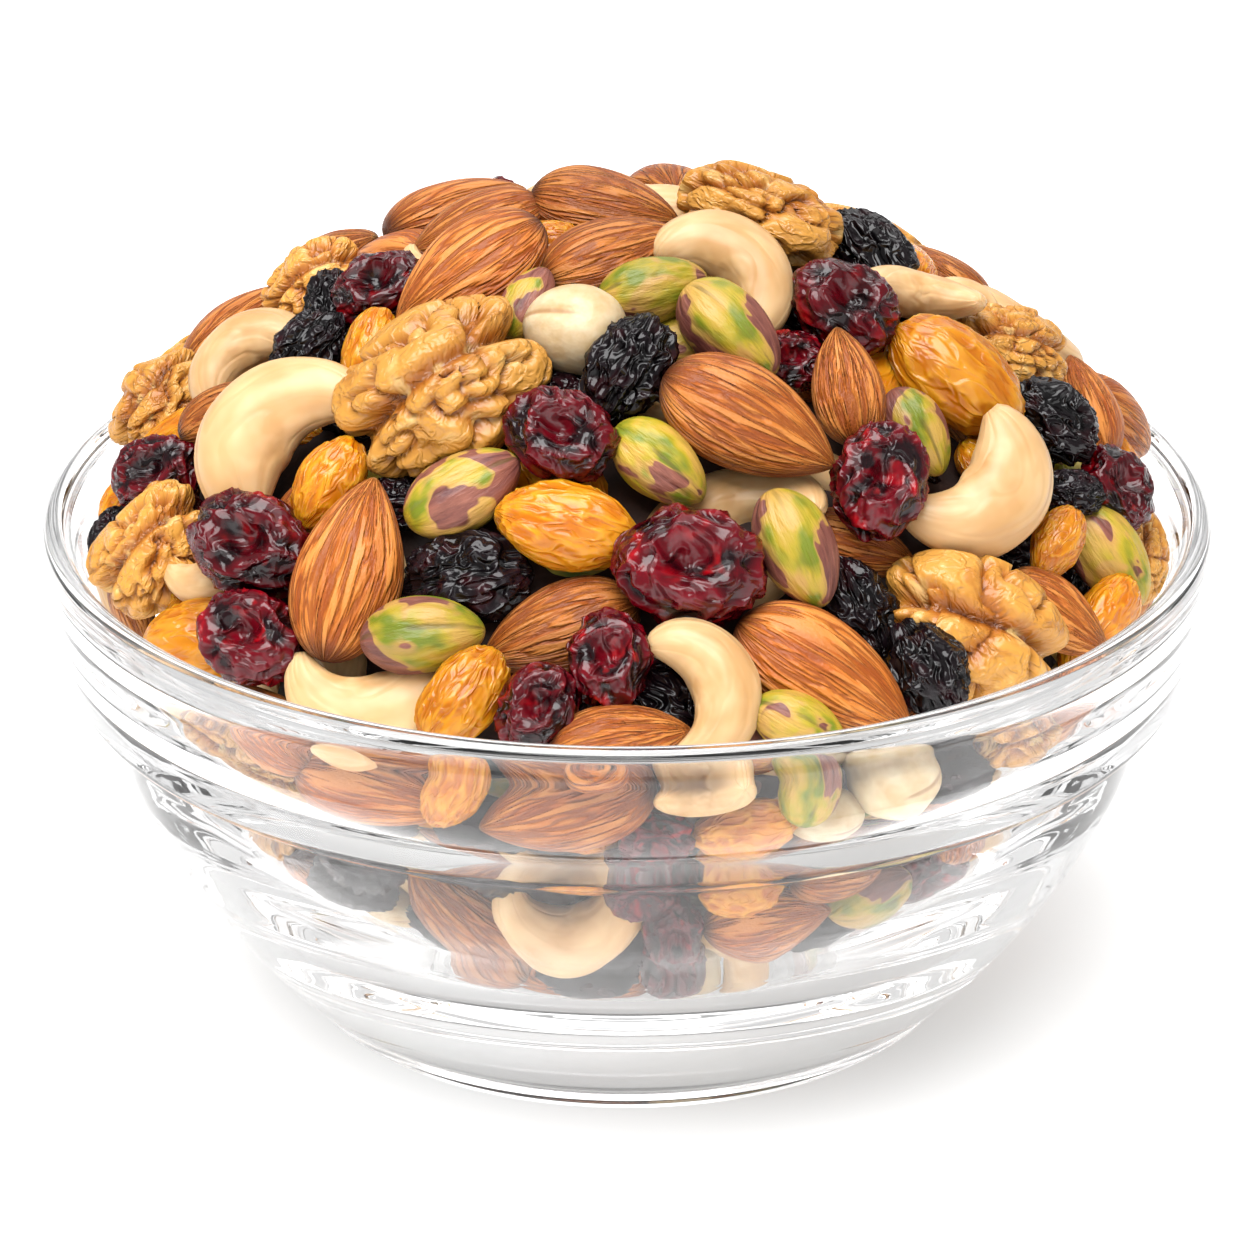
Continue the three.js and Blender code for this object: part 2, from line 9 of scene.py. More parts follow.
import bpy
import numpy as np
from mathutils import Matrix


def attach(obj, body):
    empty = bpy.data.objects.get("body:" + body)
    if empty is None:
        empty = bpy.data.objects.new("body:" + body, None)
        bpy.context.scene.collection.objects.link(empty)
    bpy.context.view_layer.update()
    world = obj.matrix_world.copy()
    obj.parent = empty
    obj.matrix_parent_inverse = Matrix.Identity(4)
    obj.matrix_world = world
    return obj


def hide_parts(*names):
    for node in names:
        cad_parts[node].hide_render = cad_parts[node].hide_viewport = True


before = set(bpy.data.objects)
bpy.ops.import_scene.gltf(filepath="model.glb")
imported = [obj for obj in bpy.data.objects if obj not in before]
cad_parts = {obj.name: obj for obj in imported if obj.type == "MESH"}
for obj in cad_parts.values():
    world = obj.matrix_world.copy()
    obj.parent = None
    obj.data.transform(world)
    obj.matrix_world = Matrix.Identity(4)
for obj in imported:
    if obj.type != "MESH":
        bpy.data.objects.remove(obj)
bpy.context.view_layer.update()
MM = 0.001

# ---- Bowl ----
BOWL_HEIGHT = 74.0
RIM_RADIUS = 85.0
FOOT_RADIUS = 47.0
FOOT_RECESS = 1.0
RING_WIDTH = 7.0
LEDGE_HEIGHT = 51.0
LEDGE_RADIUS = 81.8
FLOOR_RADIUS = 34.0
FLOOR_HEIGHT = 6.5
CAVITY = [
    (FLOOR_RADIUS, FLOOR_HEIGHT),
    (40.0, 8.8),
    (49.5, 16.5),
    (59.5, 27.0),
    (66.5, 38.0),
    (72.0, 50.0),
    (76.5, 58.0),
    (79.3, 68.0),
    (81.3, BOWL_HEIGHT - 0.8),
]
BOWL_STEPS = 192

# ---- Heap ----
FILL_HEIGHT = 72.0  # where the heap meets the wall
HEAP_RISE = 47.5  # from there to the top
HEAP_RADIUS = 81.0
FULLNESS = 0.85  # the smaller, the steeper the heap's edge
FRONT_FALL = 0.7  # how much steeper it is at the front
CORE_DEPTH = 6.0  # the solid's core lies this far below the tops of its pieces
CORE_BITE = 1.2  # the least that a piece reaches into that core
PIECE_GAP = 0.5  # kept between a piece and the glass while pieces are placed
WALL_LEAN = 0.9  # a level distance to the wall times this is the distance square to it

# ---- View that the places of the front pieces are read in, in pixels of the photograph ----
VIEW_ELEVATION = math.radians(24.3)
VIEW_DISTANCE = 1200.0
VIEW_AIM_HEIGHT = 54.6
PIXELS_PER_MM = 6.85
VIEW_SIZE = 1254

# Each kind's width and thickness as shares of its length.
KINDS = {
    "almond": (0.58, 0.4),
    "cashew": (0.66, 0.38),
    "walnut": (0.82, 0.55),
    "pistachio": (0.62, 0.56),
    "cranberry": (0.8, 0.55),
    "raisin": (0.74, 0.56),
    "sultana": (0.63, 0.5),
    "hazelnut": (0.86, 0.84),
}

# The pieces that show from the front: kind, x and y of its middle in the photograph, the direction of its
# long axis there in degrees (0 right, 90 up), its length, how far it is lifted out of the heap, and its
# roll about the long axis in degrees.
SEEN = [
    # top of the heap
    ("almond", 606, 195, -10, 22, 1, 0),
    ("almond", 484, 218, 200, 20, 0, 0),
    ("almond", 470, 276, 215, 25.5, 2, 0),
    ("almond", 602, 254, 20, 21, 1, 0),
    ("walnut", 760, 226, -20, 25, 0, -40),
    ("raisin", 850, 240, -45, 16, 0, 0),
    ("cashew", 733, 284, 135, 23, 0, 0),
    ("pistachio", 663, 287, 12, 16, 3, 0),
    ("pistachio", 733, 342, -45, 18, 3, 0),
    ("hazelnut", 583, 325, 170, 15, 1, 0),
    ("pistachio", 515, 308, 60, 12, 0, 0),
    ("raisin", 630, 370, 60, 17, 2, 0),
    ("raisin", 562, 382, 0, 13, -3, 0),
    ("cranberry", 835, 302, -30, 17, 2, 0),
    ("cashew", 912, 294, 170, 19, 0, 60),
    ("cashew", 978, 290, 200, 13, -1, 0),
    ("cranberry", 795, 352, 0, 12, -3, 0),
    ("almond", 848, 388, 100, 18, 0, 0),
    ("sultana", 945, 375, -40, 23, 2, 0),
    ("walnut", 1008, 348, -10, 18, 0, 0),
    ("raisin", 1052, 422, -30, 15.5, 1, 0),
    ("almond", 1100, 405, 110, 17, 0, 0),
    ("almond", 742, 420, -28, 27, 2, 0),
    ("pistachio", 932, 447, -60, 14, 1, 0),
    ("cranberry", 868, 480, 80, 18, 3, 0),
    ("cashew", 982, 494, 45, 25, 3, 0),
    ("cranberry", 1115, 490, -60, 13.5, 0, 0),
    ("raisin", 1075, 495, 0, 10, -1, 0),
    ("sultana", 1060, 543, 60, 12, 0, 0),
    ("pistachio", 1115, 568, -55, 17, 0, 0),
    ("walnut", 1162, 548, 90, 15, -1, 0),
    ("cashew", 712, 502, 200, 27, 1, 50),
    ("pistachio", 660, 461, -40, 16, 0, 0),
    ("pistachio", 796, 554, -65, 18, 3, 0),
    ("cranberry", 566, 440, -30, 17, 2, 0),
    ("walnut", 455, 392, 35, 30, 3, 0),
    ("sultana", 573, 526, -12, 20.5, 1, 0),
    ("pistachio", 465, 494, 30, 18, 1, 0),
    ("cranberry", 695, 581, -12, 22, 3, 0),
    ("raisin", 470, 569, 8, 19, 1, 0),
    ("almond", 353, 567, 75, 27, 2, 0),
    ("almond", 553, 618, 200, 23, -1, 0),
    ("pistachio", 418, 638, 5, 17.5, 1, 0),
    ("cashew", 367, 692, 0, 24, 1, 0),
    ("sultana", 468, 698, 55, 17, 1, 0),
    ("cranberry", 545, 712, 60, 14, 1, 0),
    ("cranberry", 603, 672, 100, 15, 1, 0),
    ("almond", 615, 745, 10, 20, -1, 0),
    ("cashew", 702, 692, 100, 22, 2, 0),
    ("almond", 832, 673, -32, 28, 2, 0),
    ("pistachio", 790, 718, -25, 14, 2, 0),
    ("raisin", 868, 612, -60, 16, -1, 0),
    ("almond", 880, 555, -15, 18, -3, 0),
    ("walnut", 1004, 628, -20, 28, 3, 0),
    ("almond", 1076, 620, -35, 18, -1, 0),
    ("cashew", 275, 440, 225, 28, 2, 0),
    ("cashew", 253, 334, 205, 20, 0, 0),
    ("raisin", 301, 346, 50, 14, 2, 0),
    ("sultana", 368, 354, 70, 13, 0, 0),
    ("cranberry", 395, 282, 20, 14.5, 0, 0),
    ("raisin", 343, 293, 80, 12, -1, 0),
    ("walnut", 318, 290, 30, 17, -2, 0),
    ("almond", 212, 403, 30, 15, 0, 0),
    ("walnut", 162, 402, 50, 18, -1, 0),
    ("cranberry", 157, 471, 0, 14.5, 1, 0),
    ("sultana", 112, 497, 60, 9, -1, 0),
    ("raisin", 107, 534, 60, 10, 0, 0),
    ("walnut", 148, 552, 45, 20, 4, 0),
    ("cashew", 200, 572, 20, 13, -2, 0),
    ("sultana", 196, 621, 8, 19, 1, 0),
    ("cranberry", 246, 660, -10, 17, 0, 0),
    ("cranberry", 255, 547, -20, 19, 2, 0),
    ("sultana", 335, 487, 60, 15, 0, 0),
    ("almond", 292, 475, 60, 14, -3, 0),
    ("raisin", 403, 490, 0, 11, -3, 0),
    ("sultana", 548, 224, 0, 10, -2, 0),
    ("cashew", 434, 247, 0, 12, -2, 0),
    # against the glass, in the band
    ("almond", 370, 792, -15, 24, 0, 0),
    ("sultana", 457, 792, 60, 13, 0, 0),
    ("raisin", 466, 828, 0, 11, 0, 0),
    ("almond", 573, 818, 195, 25, 0, 0),
    ("cashew", 704, 797, 8, 14, 0, 60),
    ("cranberry", 660, 843, 0, 11, 0, 0),
    ("sultana", 744, 833, 15, 15, 0, 0),
    ("pistachio", 806, 785, 70, 13, 0, 0),
    ("hazelnut", 830, 820, 0, 11, 0, 0),
    ("hazelnut", 897, 792, 20, 13, 0, 0),
    ("raisin", 965, 785, 20, 13, 0, 0),
    ("walnut", 270, 775, -20, 13, 0, 0),
    ("walnut", 204, 742, -40, 13, 0, 0),
    ("walnut", 1010, 745, 20, 14, 0, 0),
    ("almond", 1070, 725, 30, 17, 0, 0),
    # against the glass, below the band
    ("raisin", 342, 891, -10, 14, 0, 0),
    ("almond", 460, 937, 135, 24, 0, 0),
    ("cashew", 572, 922, 0, 21, 0, 0),
    ("raisin", 437, 965, -40, 18, 0, 0),
    ("raisin", 590, 968, 0, 17, 0, 0),
    ("almond", 568, 1006, 178, 22, 0, 0),
    ("cranberry", 675, 930, 90, 11, 0, 0),
    ("cranberry", 672, 983, 80, 12, 1, 0),
    ("cashew", 745, 978, 120, 16, 0, 0),
    ("almond", 765, 918, 10, 18, 0, 0),
    ("sultana", 742, 888, 10, 12, -1, 0),
    ("pistachio", 872, 896, 30, 13, 0, 0),
    ("raisin", 830, 946, 15, 13.5, 0, 0),
    ("cranberry", 945, 882, 30, 14, 0, 0),
    ("almond", 900, 940, 45, 17, 0, 0),
    ("pistachio", 820, 984, 10, 13, 0, 0),
    ("hazelnut", 697, 1010, 0, 11, 0, 0),
    ("hazelnut", 362, 942, 0, 12, 0, 0),
]

# The rest of the heap's surface is filled by a seeded rule: first the large pieces, then smaller ones.
# Each round tries so many spots on the dome and on the wall, with pieces of these kinds and lengths.
FILL_SEED = 2
LARGE_KINDS = ["almond", "walnut", "cashew", "almond", "cashew"]
SMALLER_KINDS = ["cranberry", "pistachio", "raisin", "sultana", "almond"]
FILL_ROUNDS = [(150, 45, LARGE_KINDS, 20, 26), (400, 60, SMALLER_KINDS, 15, 19)]
WALL_LOWEST = 12.0  # heights between which spots are tried on the wall
WALL_HIGHEST = FILL_HEIGHT - 5
DOME_MARGIN = 4.0  # and none this near the edge of the dome
CLOSEST_SHARE = 0.66  # how near two pieces may be placed, as a share of their mean radii together

# Pieces that overlap are then pushed apart, a little at a time.
SETTLE_STEPS = 30
SPRING = 0.06  # the share of its way home that a piece goes back in one step
YIELD_LOW = 0.3  # of an overlap, what the deeper piece gives way by in one step
YIELD_HIGH = 0.1
YIELD_ACROSS = 0.3  # of that, what a piece read from the photograph moves across the line of sight
TOWARDS_VIEW = 0.7  # how far such a piece leans from the heap's surface towards the eye

# Further pieces close the gaps between those, and lie under them: depth below the surface, spots on the dome
# and on the wall, kinds, shortest and longest length, and how far a piece may reach into another.
ALL_KINDS = ["almond", "cranberry", "raisin", "pistachio", "cashew", "sultana", "raisin"]
UNDER_ROUNDS = [
    (1.0, 500, 500, SMALLER_KINDS, 14, 19, 1.2),
    (5.0, 500, 500, ALL_KINDS, 15, 21, 2.0),
    (2.0, 800, 800, ["raisin", "cranberry", "pistachio", "sultana"], 10, 13, 1.2),
    (9.0, 400, 400, ALL_KINDS, 14, 20, 2.5),
]
INNER_CORE_DEPTH = 13.0  # the core under them all lies this far below the surface
CORE_STEPS = 48

# Quads along each edge of the cube that a piece's mesh starts from: for pieces in front, for the others on
# the surface, and for those under it.
FINENESS = {
    "almond": (17, 12, 7),
    "cashew": (17, 12, 8),
    "walnut": (30, 20, 14),
    "pistachio": (15, 11, 7),
    "cranberry": (23, 17, 9),
    "raisin": (23, 16, 9),
    "sultana": (19, 14, 8),
    "hazelnut": (14, 10, 8),
}
IN_FRONT, ON_SURFACE, UNDER = range(3)


# ---- Envelope of the heap ----
CAVITY_RADII = np.array([radius for radius, _ in CAVITY])
CAVITY_HEIGHTS = np.array([height for _, height in CAVITY])


def cavity_radius(height):
    return np.interp(height, CAVITY_HEIGHTS, CAVITY_RADII)


def skin_height(x, y):
    """The heap is full at its sides and back, and falls away sooner towards the front."""
    radius = np.hypot(x, y)
    share = np.minimum(1, radius / HEAP_RADIUS)
    front = np.maximum(0, -y / np.maximum(radius, 1)) ** 2
    return FILL_HEIGHT + HEAP_RISE * (1 - share**2.2) ** (FULLNESS + FRONT_FALL * front)


def depth_at(points):
    """How deep points lie inside the heap's envelope, negative outside it."""
    x, y, z = np.moveaxis(points, -1, 0)
    under_skin = skin_height(x, y) - z
    off_wall = WALL_LEAN * (cavity_radius(z) - PIECE_GAP - np.hypot(x, y))
    off_floor = z - FLOOR_HEIGHT - PIECE_GAP
    return np.minimum(np.minimum(under_skin, off_wall), off_floor)


def unit(vectors):
    return vectors / np.linalg.norm(vectors, axis=-1, keepdims=True)


def outward_at(point):
    step = 0.5
    return unit(np.array([depth_at(point - step * e) - depth_at(point + step * e) for e in np.eye(3)]))


# ---- View ----
TO_FAR = np.array([0, math.cos(VIEW_ELEVATION), -math.sin(VIEW_ELEVATION)])
VIEW_UP = np.array([0, math.sin(VIEW_ELEVATION), math.cos(VIEW_ELEVATION)])
VIEW_RIGHT = np.array([1.0, 0.0, 0.0])
EYE = np.array([0, 0, VIEW_AIM_HEIGHT]) - VIEW_DISTANCE * TO_FAR


def ray_through(x, y):
    per_pixel = 1 / (PIXELS_PER_MM * VIEW_DISTANCE)
    across = VIEW_RIGHT * (x - VIEW_SIZE / 2) + VIEW_UP * (VIEW_SIZE / 2 - y)
    return unit(TO_FAR + across * per_pixel)


def first_hit(ray):
    """Where a ray first enters the envelope, or comes nearest to it."""
    reach = 140
    step = 0.5
    points = EYE + ray * np.arange(VIEW_DISTANCE - reach, VIEW_DISTANCE + reach, step)[:, None]
    depth = depth_at(points)
    inside = np.nonzero(depth >= 0)[0]
    return points[inside[0] if len(inside) else np.argmax(depth)]


# ---- Placing ----
def turned_about(vector, axis, angle):
    along = axis * np.dot(axis, vector) * (1 - math.cos(angle))
    return vector * math.cos(angle) + np.cross(axis, vector) * math.sin(angle) + along


class Piece:
    """One nut or fruit. Its axes are rows: across, along, and out of the heap."""

    def __init__(self, kind, length, middle, along, outward, roll=0.0, ray=None):
        wide, thick = KINDS[kind]
        y = unit(along - outward * np.dot(along, outward))
        z = turned_about(outward, y, math.radians(roll))
        self.kind = kind
        self.half = np.array([length * wide, length, length * thick]) / 2
        self.middle = middle
        self.axes = np.array([np.cross(y, z), y, z])
        self.outward = outward
        self.ray = ray
        self.layer = ON_SURFACE if ray is None else IN_FRONT


def seen_piece(kind, px, py, turn, length, lift, roll):
    ray = ray_through(px, py)
    hit = first_hit(ray)
    outward = unit(outward_at(hit) - TOWARDS_VIEW * ray)
    angle = math.radians(turn)
    along = VIEW_RIGHT * math.cos(angle) + VIEW_UP * math.sin(angle)
    along = along - ray * np.dot(along, outward) / np.dot(ray, outward)
    sink = length * KINDS[kind][1] / 2 - lift
    least_facing = 0.5
    middle = hit + ray * sink / max(least_facing, -np.dot(outward, ray))
    return Piece(kind, length, middle, along, outward, roll, ray)


def draws(seed):
    """Numbers from 0 to 1 by a linear congruential rule."""
    multiplier = 1664525
    increment = 1013904223
    state = seed
    while True:
        state = (state * multiplier + increment) % 2**32
        yield state / 2**32


GOLDEN_ANGLE = math.pi * (3 - math.sqrt(5))


def dome_spots(count, shift):
    for i in range(count):
        out = (HEAP_RADIUS - DOME_MARGIN) * math.sqrt((i + 0.5) / count)
        x = out * math.cos(i * GOLDEN_ANGLE + shift)
        y = out * math.sin(i * GOLDEN_ANGLE + shift)
        yield np.array([x, y, float(skin_height(x, y))])


def wall_spots(count, shift):
    for i in range(count):
        height = WALL_LOWEST + (WALL_HIGHEST - WALL_LOWEST) * math.sqrt((i + 0.5) / count)
        out = float(cavity_radius(height)) - PIECE_GAP
        angle = i * GOLDEN_ANGLE + shift
        yield np.array([out * math.cos(angle), out * math.sin(angle), height])


def drawn_piece(spot, depth, kinds, shortest, longest, draw):
    kind = kinds[int(next(draw) * len(kinds))]
    length = shortest + (longest - shortest) * next(draw)
    turn = 2 * math.pi * next(draw)
    outward = outward_at(spot)
    nearly_level = 0.01
    level = unit(np.array([-outward[1], outward[0], nearly_level]))
    along = turned_about(level, outward, turn)
    middle = spot - outward * (depth + length * KINDS[kind][1] / 2)
    return Piece(kind, length, middle, along, outward)


def gathered(pieces, name):
    return np.array([getattr(piece, name) for piece in pieces])


def add_filling(pieces):
    draw = draws(FILL_SEED)
    for number, (dome, wall, *choice) in enumerate(FILL_ROUNDS):
        for spot in [*dome_spots(dome, number), *wall_spots(wall, number)]:
            piece = drawn_piece(spot, 0.0, *choice, draw)
            apart = np.linalg.norm(gathered(pieces, "middle") - piece.middle, axis=1)
            radii = gathered(pieces, "half")[:, :2].mean(axis=1) + piece.half[:2].mean()
            if np.all(apart > CLOSEST_SHARE * radii):
                pieces.append(piece)


def half_along(half, axes, direction):
    """Half-sizes as ellipsoids in one direction: between their extent and their surface there."""
    cosine = np.einsum("...ij,...j->...i", axes, direction)
    extent = np.sqrt(np.sum((half * cosine) ** 2, axis=-1))
    surface = 1 / np.sqrt(np.sum((cosine / half) ** 2, axis=-1))
    return (extent + surface) / 2


def kept_off_wall(middle, half, axes):
    """Middles moved so that the pieces are inside the bowl, unless they lie clear above its rim."""
    clear_height = BOWL_HEIGHT + 4
    fall = -0.5
    level = unit(middle * [1, 1, 0])
    slope = unit(level + np.array([0, 0, fall]))
    room = cavity_radius(np.minimum(middle[:, 2], FILL_HEIGHT)) - PIECE_GAP
    excess = np.hypot(middle[:, 0], middle[:, 1]) - room + half_along(half, axes, slope) / WALL_LEAN
    excess = np.where(middle[:, 2] < clear_height, np.maximum(0, excess), 0)
    middle = middle - level * excess[:, None]
    lowest = FLOOR_HEIGHT + PIECE_GAP + half_along(half, axes, np.array([0.0, 0.0, 1.0]))
    middle[:, 2] = np.maximum(middle[:, 2], lowest)
    return middle


def settle(pieces):
    """Pushes overlapping pieces apart. Those read from the photograph move mostly along the line of sight."""
    half = gathered(pieces, "half")
    axes = gathered(pieces, "axes")
    outward = gathered(pieces, "outward")
    home = gathered(pieces, "middle")
    seen = np.array([piece.ray is not None for piece in pieces])[:, None]
    rays = np.array([np.zeros(3) if piece.ray is None else piece.ray for piece in pieces])
    seat = CORE_DEPTH + CORE_BITE - half_along(half, axes, outward)
    themselves = np.eye(len(pieces), dtype=bool)
    middle = home.copy()
    for _ in range(SETTLE_STEPS):
        push = (home - middle) * SPRING
        apart = middle[None, :] - middle[:, None]
        distance = np.linalg.norm(apart, axis=-1)
        reach = half[:, 1][:, None] + half[:, 1][None, :]
        one, other = np.nonzero((distance <= reach) & ~themselves)
        way = apart[one, other] / distance[one, other][:, None]
        overlap = half_along(half[one], axes[one], way) + half_along(half[other], axes[other], way)
        overlap = np.maximum(0, overlap - distance[one, other])
        depth = depth_at(middle)
        share = np.where(depth[one] < depth[other], YIELD_HIGH, YIELD_LOW)
        np.add.at(push, one, -way * (overlap * share)[:, None])
        in_sight = np.sum(push * rays, axis=1, keepdims=True)
        push = np.where(seen, push * YIELD_ACROSS + rays * (1 - YIELD_ACROSS) * in_sight, push)
        middle = middle + push
        lack = np.maximum(0, seat - depth_at(middle))
        middle = kept_off_wall(middle - outward * lack[:, None], half, axes)
    for piece, place in zip(pieces, middle):
        piece.middle = place


def add_under(pieces):
    draw = draws(FILL_SEED + 1)
    for number, (depth, dome, wall, kinds, shortest, longest, bite) in enumerate(UNDER_ROUNDS):
        for spot in [*dome_spots(dome, number), *wall_spots(wall, number)]:
            piece = drawn_piece(spot, depth, kinds, shortest, longest, draw)
            piece.middle = kept_off_wall(piece.middle[None], piece.half[None], piece.axes[None])[0]
            apart = gathered(pieces, "middle") - piece.middle
            distance = np.linalg.norm(apart, axis=1)
            near = distance < gathered(pieces, "half")[:, 1] + piece.half[1]
            others = [other for other, is_near in zip(pieces, near) if is_near]
            if others:
                way = apart[near] / distance[near][:, None]
                overlap = half_along(gathered(others, "half"), gathered(others, "axes"), way)
                overlap = overlap + half_along(piece.half, piece.axes, way) - distance[near]
                if overlap.max() > bite:
                    continue
            piece.layer = UNDER
            pieces.append(piece)


def placed_pieces():
    pieces = [seen_piece(*row) for row in SEEN]
    add_filling(pieces)
    settle(pieces)
    add_under(pieces)
    return pieces


# ---- Meshes ----
def ball(steps):
    """A unit sphere from a cube with so many quads along each edge: its points and its quads."""
    ticks = np.tan(np.linspace(-math.pi / 4, math.pi / 4, steps + 1))
    u, v = np.meshgrid(ticks, ticks, indexing="ij")
    ones = np.ones_like(u)
    sides = [(u, v, ones), (v, u, -ones), (v, ones, u), (u, -ones, v), (ones, u, v), (-ones, v, u)]
    points = np.concatenate([np.stack(side, axis=-1).reshape(-1, 3) for side in sides])
    index = np.arange(len(points)).reshape(6, steps + 1, steps + 1)
    quads = np.stack([index[:, :-1, :-1], index[:, 1:, :-1], index[:, 1:, 1:], index[:, :-1, 1:]], axis=-1)
    _, kept, merged = np.unique(points.round(6), axis=0, return_index=True, return_inverse=True)
    return unit(points[kept]), merged.reshape(-1)[quads.reshape(-1, 4)]


def mesh_object(name, points, faces, attributes=None):
    """An object from points in millimetres and faces that all have the same number of corners."""
    mesh = bpy.data.meshes.new(name)
    mesh.vertices.add(len(points))
    mesh.vertices.foreach_set("co", (points * MM).ravel().astype(np.float32))
    mesh.loops.add(faces.size)
    mesh.loops.foreach_set("vertex_index", faces.ravel().astype(np.int32))
    mesh.polygons.add(len(faces))
    mesh.polygons.foreach_set("loop_start", np.arange(0, faces.size, faces.shape[1], dtype=np.int32))
    mesh.update(calc_edges=True)
    mesh.shade_smooth()
    for key, values in (attributes or {}).items():
        sort, field = ("FLOAT_VECTOR", "vector") if values.ndim > 1 else ("FLOAT", "value")
        mesh.attributes.new(key, sort, "POINT").data.foreach_set(field, values.ravel().astype(np.float32))
    built = bpy.data.objects.new(name, mesh)
    bpy.context.scene.collection.objects.link(built)
    return built


def scrambled(cells, seed):
    """A number between -1 and 1 for each cell of a grid, by a hash of its coordinates and the seed."""
    x, y, z = cells.T
    code = x * 73856093 ^ y * 19349663 ^ z * 83492791 ^ (seed * 2654435761)
    code = (code ^ (code >> 13)) * 1274126177 & 0xFFFFFFFF
    code = (code ^ (code >> 16)) * 668265263 & 0xFFFFFFFF
    return code / 2**31 - 1


def noise(points, seed):
    """Smooth noise between -1 and 1."""
    base = np.floor(points).astype(np.int64)
    part = points - base
    part = part**3 * (part * (part * 6 - 15) + 10)
    total = np.zeros(len(points))
    for corner in itertools.product((0, 1), repeat=3):
        total += scrambled(base + corner, seed) * np.prod(np.where(corner, part, 1 - part), axis=1)
    return total


def smooth_step(low, high, values):
    share = np.clip((values - low) / (high - low), 0, 1)
    return share * share * (3 - 2 * share)


def around(points, rate, along_rate):
    """Coordinates in which features run lengthwise and keep their number up to the ends."""
    girth = np.hypot(points[:, 0], points[:, 2]) + 1e-6
    ring = points[:, [0, 2]] / girth[:, None] * rate
    return np.stack([ring[:, 0], points[:, 1] * along_rate, ring[:, 1]], axis=1), np.minimum(1, girth * 1.6)


# Each shape takes a unit sphere's points, with the long axis on Y, and the piece's number. It returns the
# points before they are scaled to the piece's half-sizes, and a relief between 0 in creases and 1 on ridges.
def almond_shape(p, number):
    taper = 1 - 0.24 * p[:, 1] - 0.12 * p[:, 1] ** 2 - 0.22 * np.maximum(0, p[:, 1]) ** 5
    ring, fade = around(p, 4.0, 1.2)
    ridges = noise(ring, number) * fade
    finer = noise(ring * 2.3, number + 1) * fade
    relief = np.clip(0.5 + 0.4 * ridges + 0.3 * finer, 0, 1)
    wave = 1 + 0.03 * noise(p * 1.4, number + 2)
    side = taper * wave * (1 + 0.035 * (relief - 0.5))
    return p * np.stack([side, np.ones_like(side), side], axis=1), relief


def cashew_shape(p, number):
    half_arc = math.radians(98 + 8 * math.sin(number * 2.4))
    arc_radius = 0.62
    tube_radius = 0.37
    latitude = np.arcsin(np.clip(p[:, 1], -1, 1))
    girth = np.maximum(1e-6, np.cos(latitude))
    full = girth**0.54 * (1 + 0.14 * p[:, 1])
    around_tube = np.arctan2(p[:, 2], p[:, 0])
    seam = np.exp(-(((around_tube - 0.5) / 0.09) ** 2)) * smooth_step(-0.2, 0.5, p[:, 1])
    full = full * (1 + 0.05 * noise(p * 2.2, number)) - 0.035 * seam * girth
    along = latitude / (math.pi / 2) * half_arc
    out = arc_radius + tube_radius * full * p[:, 0] / girth
    bent = np.stack([out * np.cos(along), out * np.sin(along), p[:, 2] / girth * full], axis=1)
    return bent, 1 - seam


def walnut_shape(p, number):
    warp = 0.6 * np.stack([noise(p * 1.7, number + k) for k in range(3)], axis=1)
    folds = np.clip(np.abs(noise(p * 3.3 + warp, number + 3)) / 0.48, 0, 1)
    lobes = np.sqrt(1 - (1 - folds) ** 2)
    middle_groove = np.exp(-((p[:, 0] / 0.12) ** 2)) * smooth_step(-0.2, 0.6, p[:, 2])
    notches = np.exp(-((p[:, 0] / 0.2) ** 2)) * smooth_step(0.5, 1.0, np.abs(p[:, 1]))
    relief = np.clip(lobes * (1 - 0.7 * middle_groove), 0, 1)
    outline = (1 + 0.14 * noise(p * 1.6, number + 4)) * (1 - 0.25 * notches)
    swell = outline * (0.68 + 0.36 * relief)
    return p * swell[:, None], relief


def pistachio_shape(p, number):
    taper = 1 - 0.12 * p[:, 1] - 0.1 * np.abs(p[:, 1]) ** 4
    ring, fade = around(p, 2.2, 0.8)
    facets = noise(ring, number) * fade
    wrinkles = noise(ring * 3.2, number + 1) * fade
    split = np.exp(-((p[:, 0] / 0.07) ** 2)) * (p[:, 2] > 0)
    side = taper * (1 + 0.07 * facets + 0.03 * wrinkles - 0.09 * split)
    relief = np.clip(0.6 + 0.4 * wrinkles - 0.6 * split, 0, 1)
    return p * np.stack([side, np.ones_like(side), side], axis=1), relief


def cranberry_shape(p, number):
    warp = 0.7 * np.stack([noise(p * 1.5, number + k) for k in range(3)], axis=1)
    folds = 1 - 1.7 * np.abs(noise(p * 2.2 + warp, number + 3))
    finer = 1 - 1.7 * np.abs(noise(p * 4.2 + warp, number + 4))
    relief = np.clip(0.72 * folds + 0.28 * finer, 0, 1)
    swell = (0.86 + 0.16 * relief) * (1 + 0.07 * noise(p * 1.3, number + 5))
    shaped = p * swell[:, None]
    dip = 0.75 * np.exp(-7 * (p[:, 0] ** 2 + p[:, 1] ** 2))
    shaped[:, 2] *= np.where(p[:, 2] > 0, 1 - dip, 1)
    return shaped, relief


def raisin_shape(p, number):
    warp = 0.6 * np.stack([noise(p * 1.6, number + k) for k in range(3)], axis=1)
    stretched = p * [3.2, 1.9, 3.2]
    ridges = 1 - np.abs(noise(stretched + warp, number + 3)) * 1.7
    finer = 1 - np.abs(noise(stretched * 1.8 + warp, number + 4)) * 1.7
    relief = np.clip(0.75 * ridges + 0.25 * finer, 0, 1)
    swell = (0.8 + 0.22 * relief) * (1 + 0.09 * noise(p * 1.5, number + 5))
    return p * swell[:, None], relief


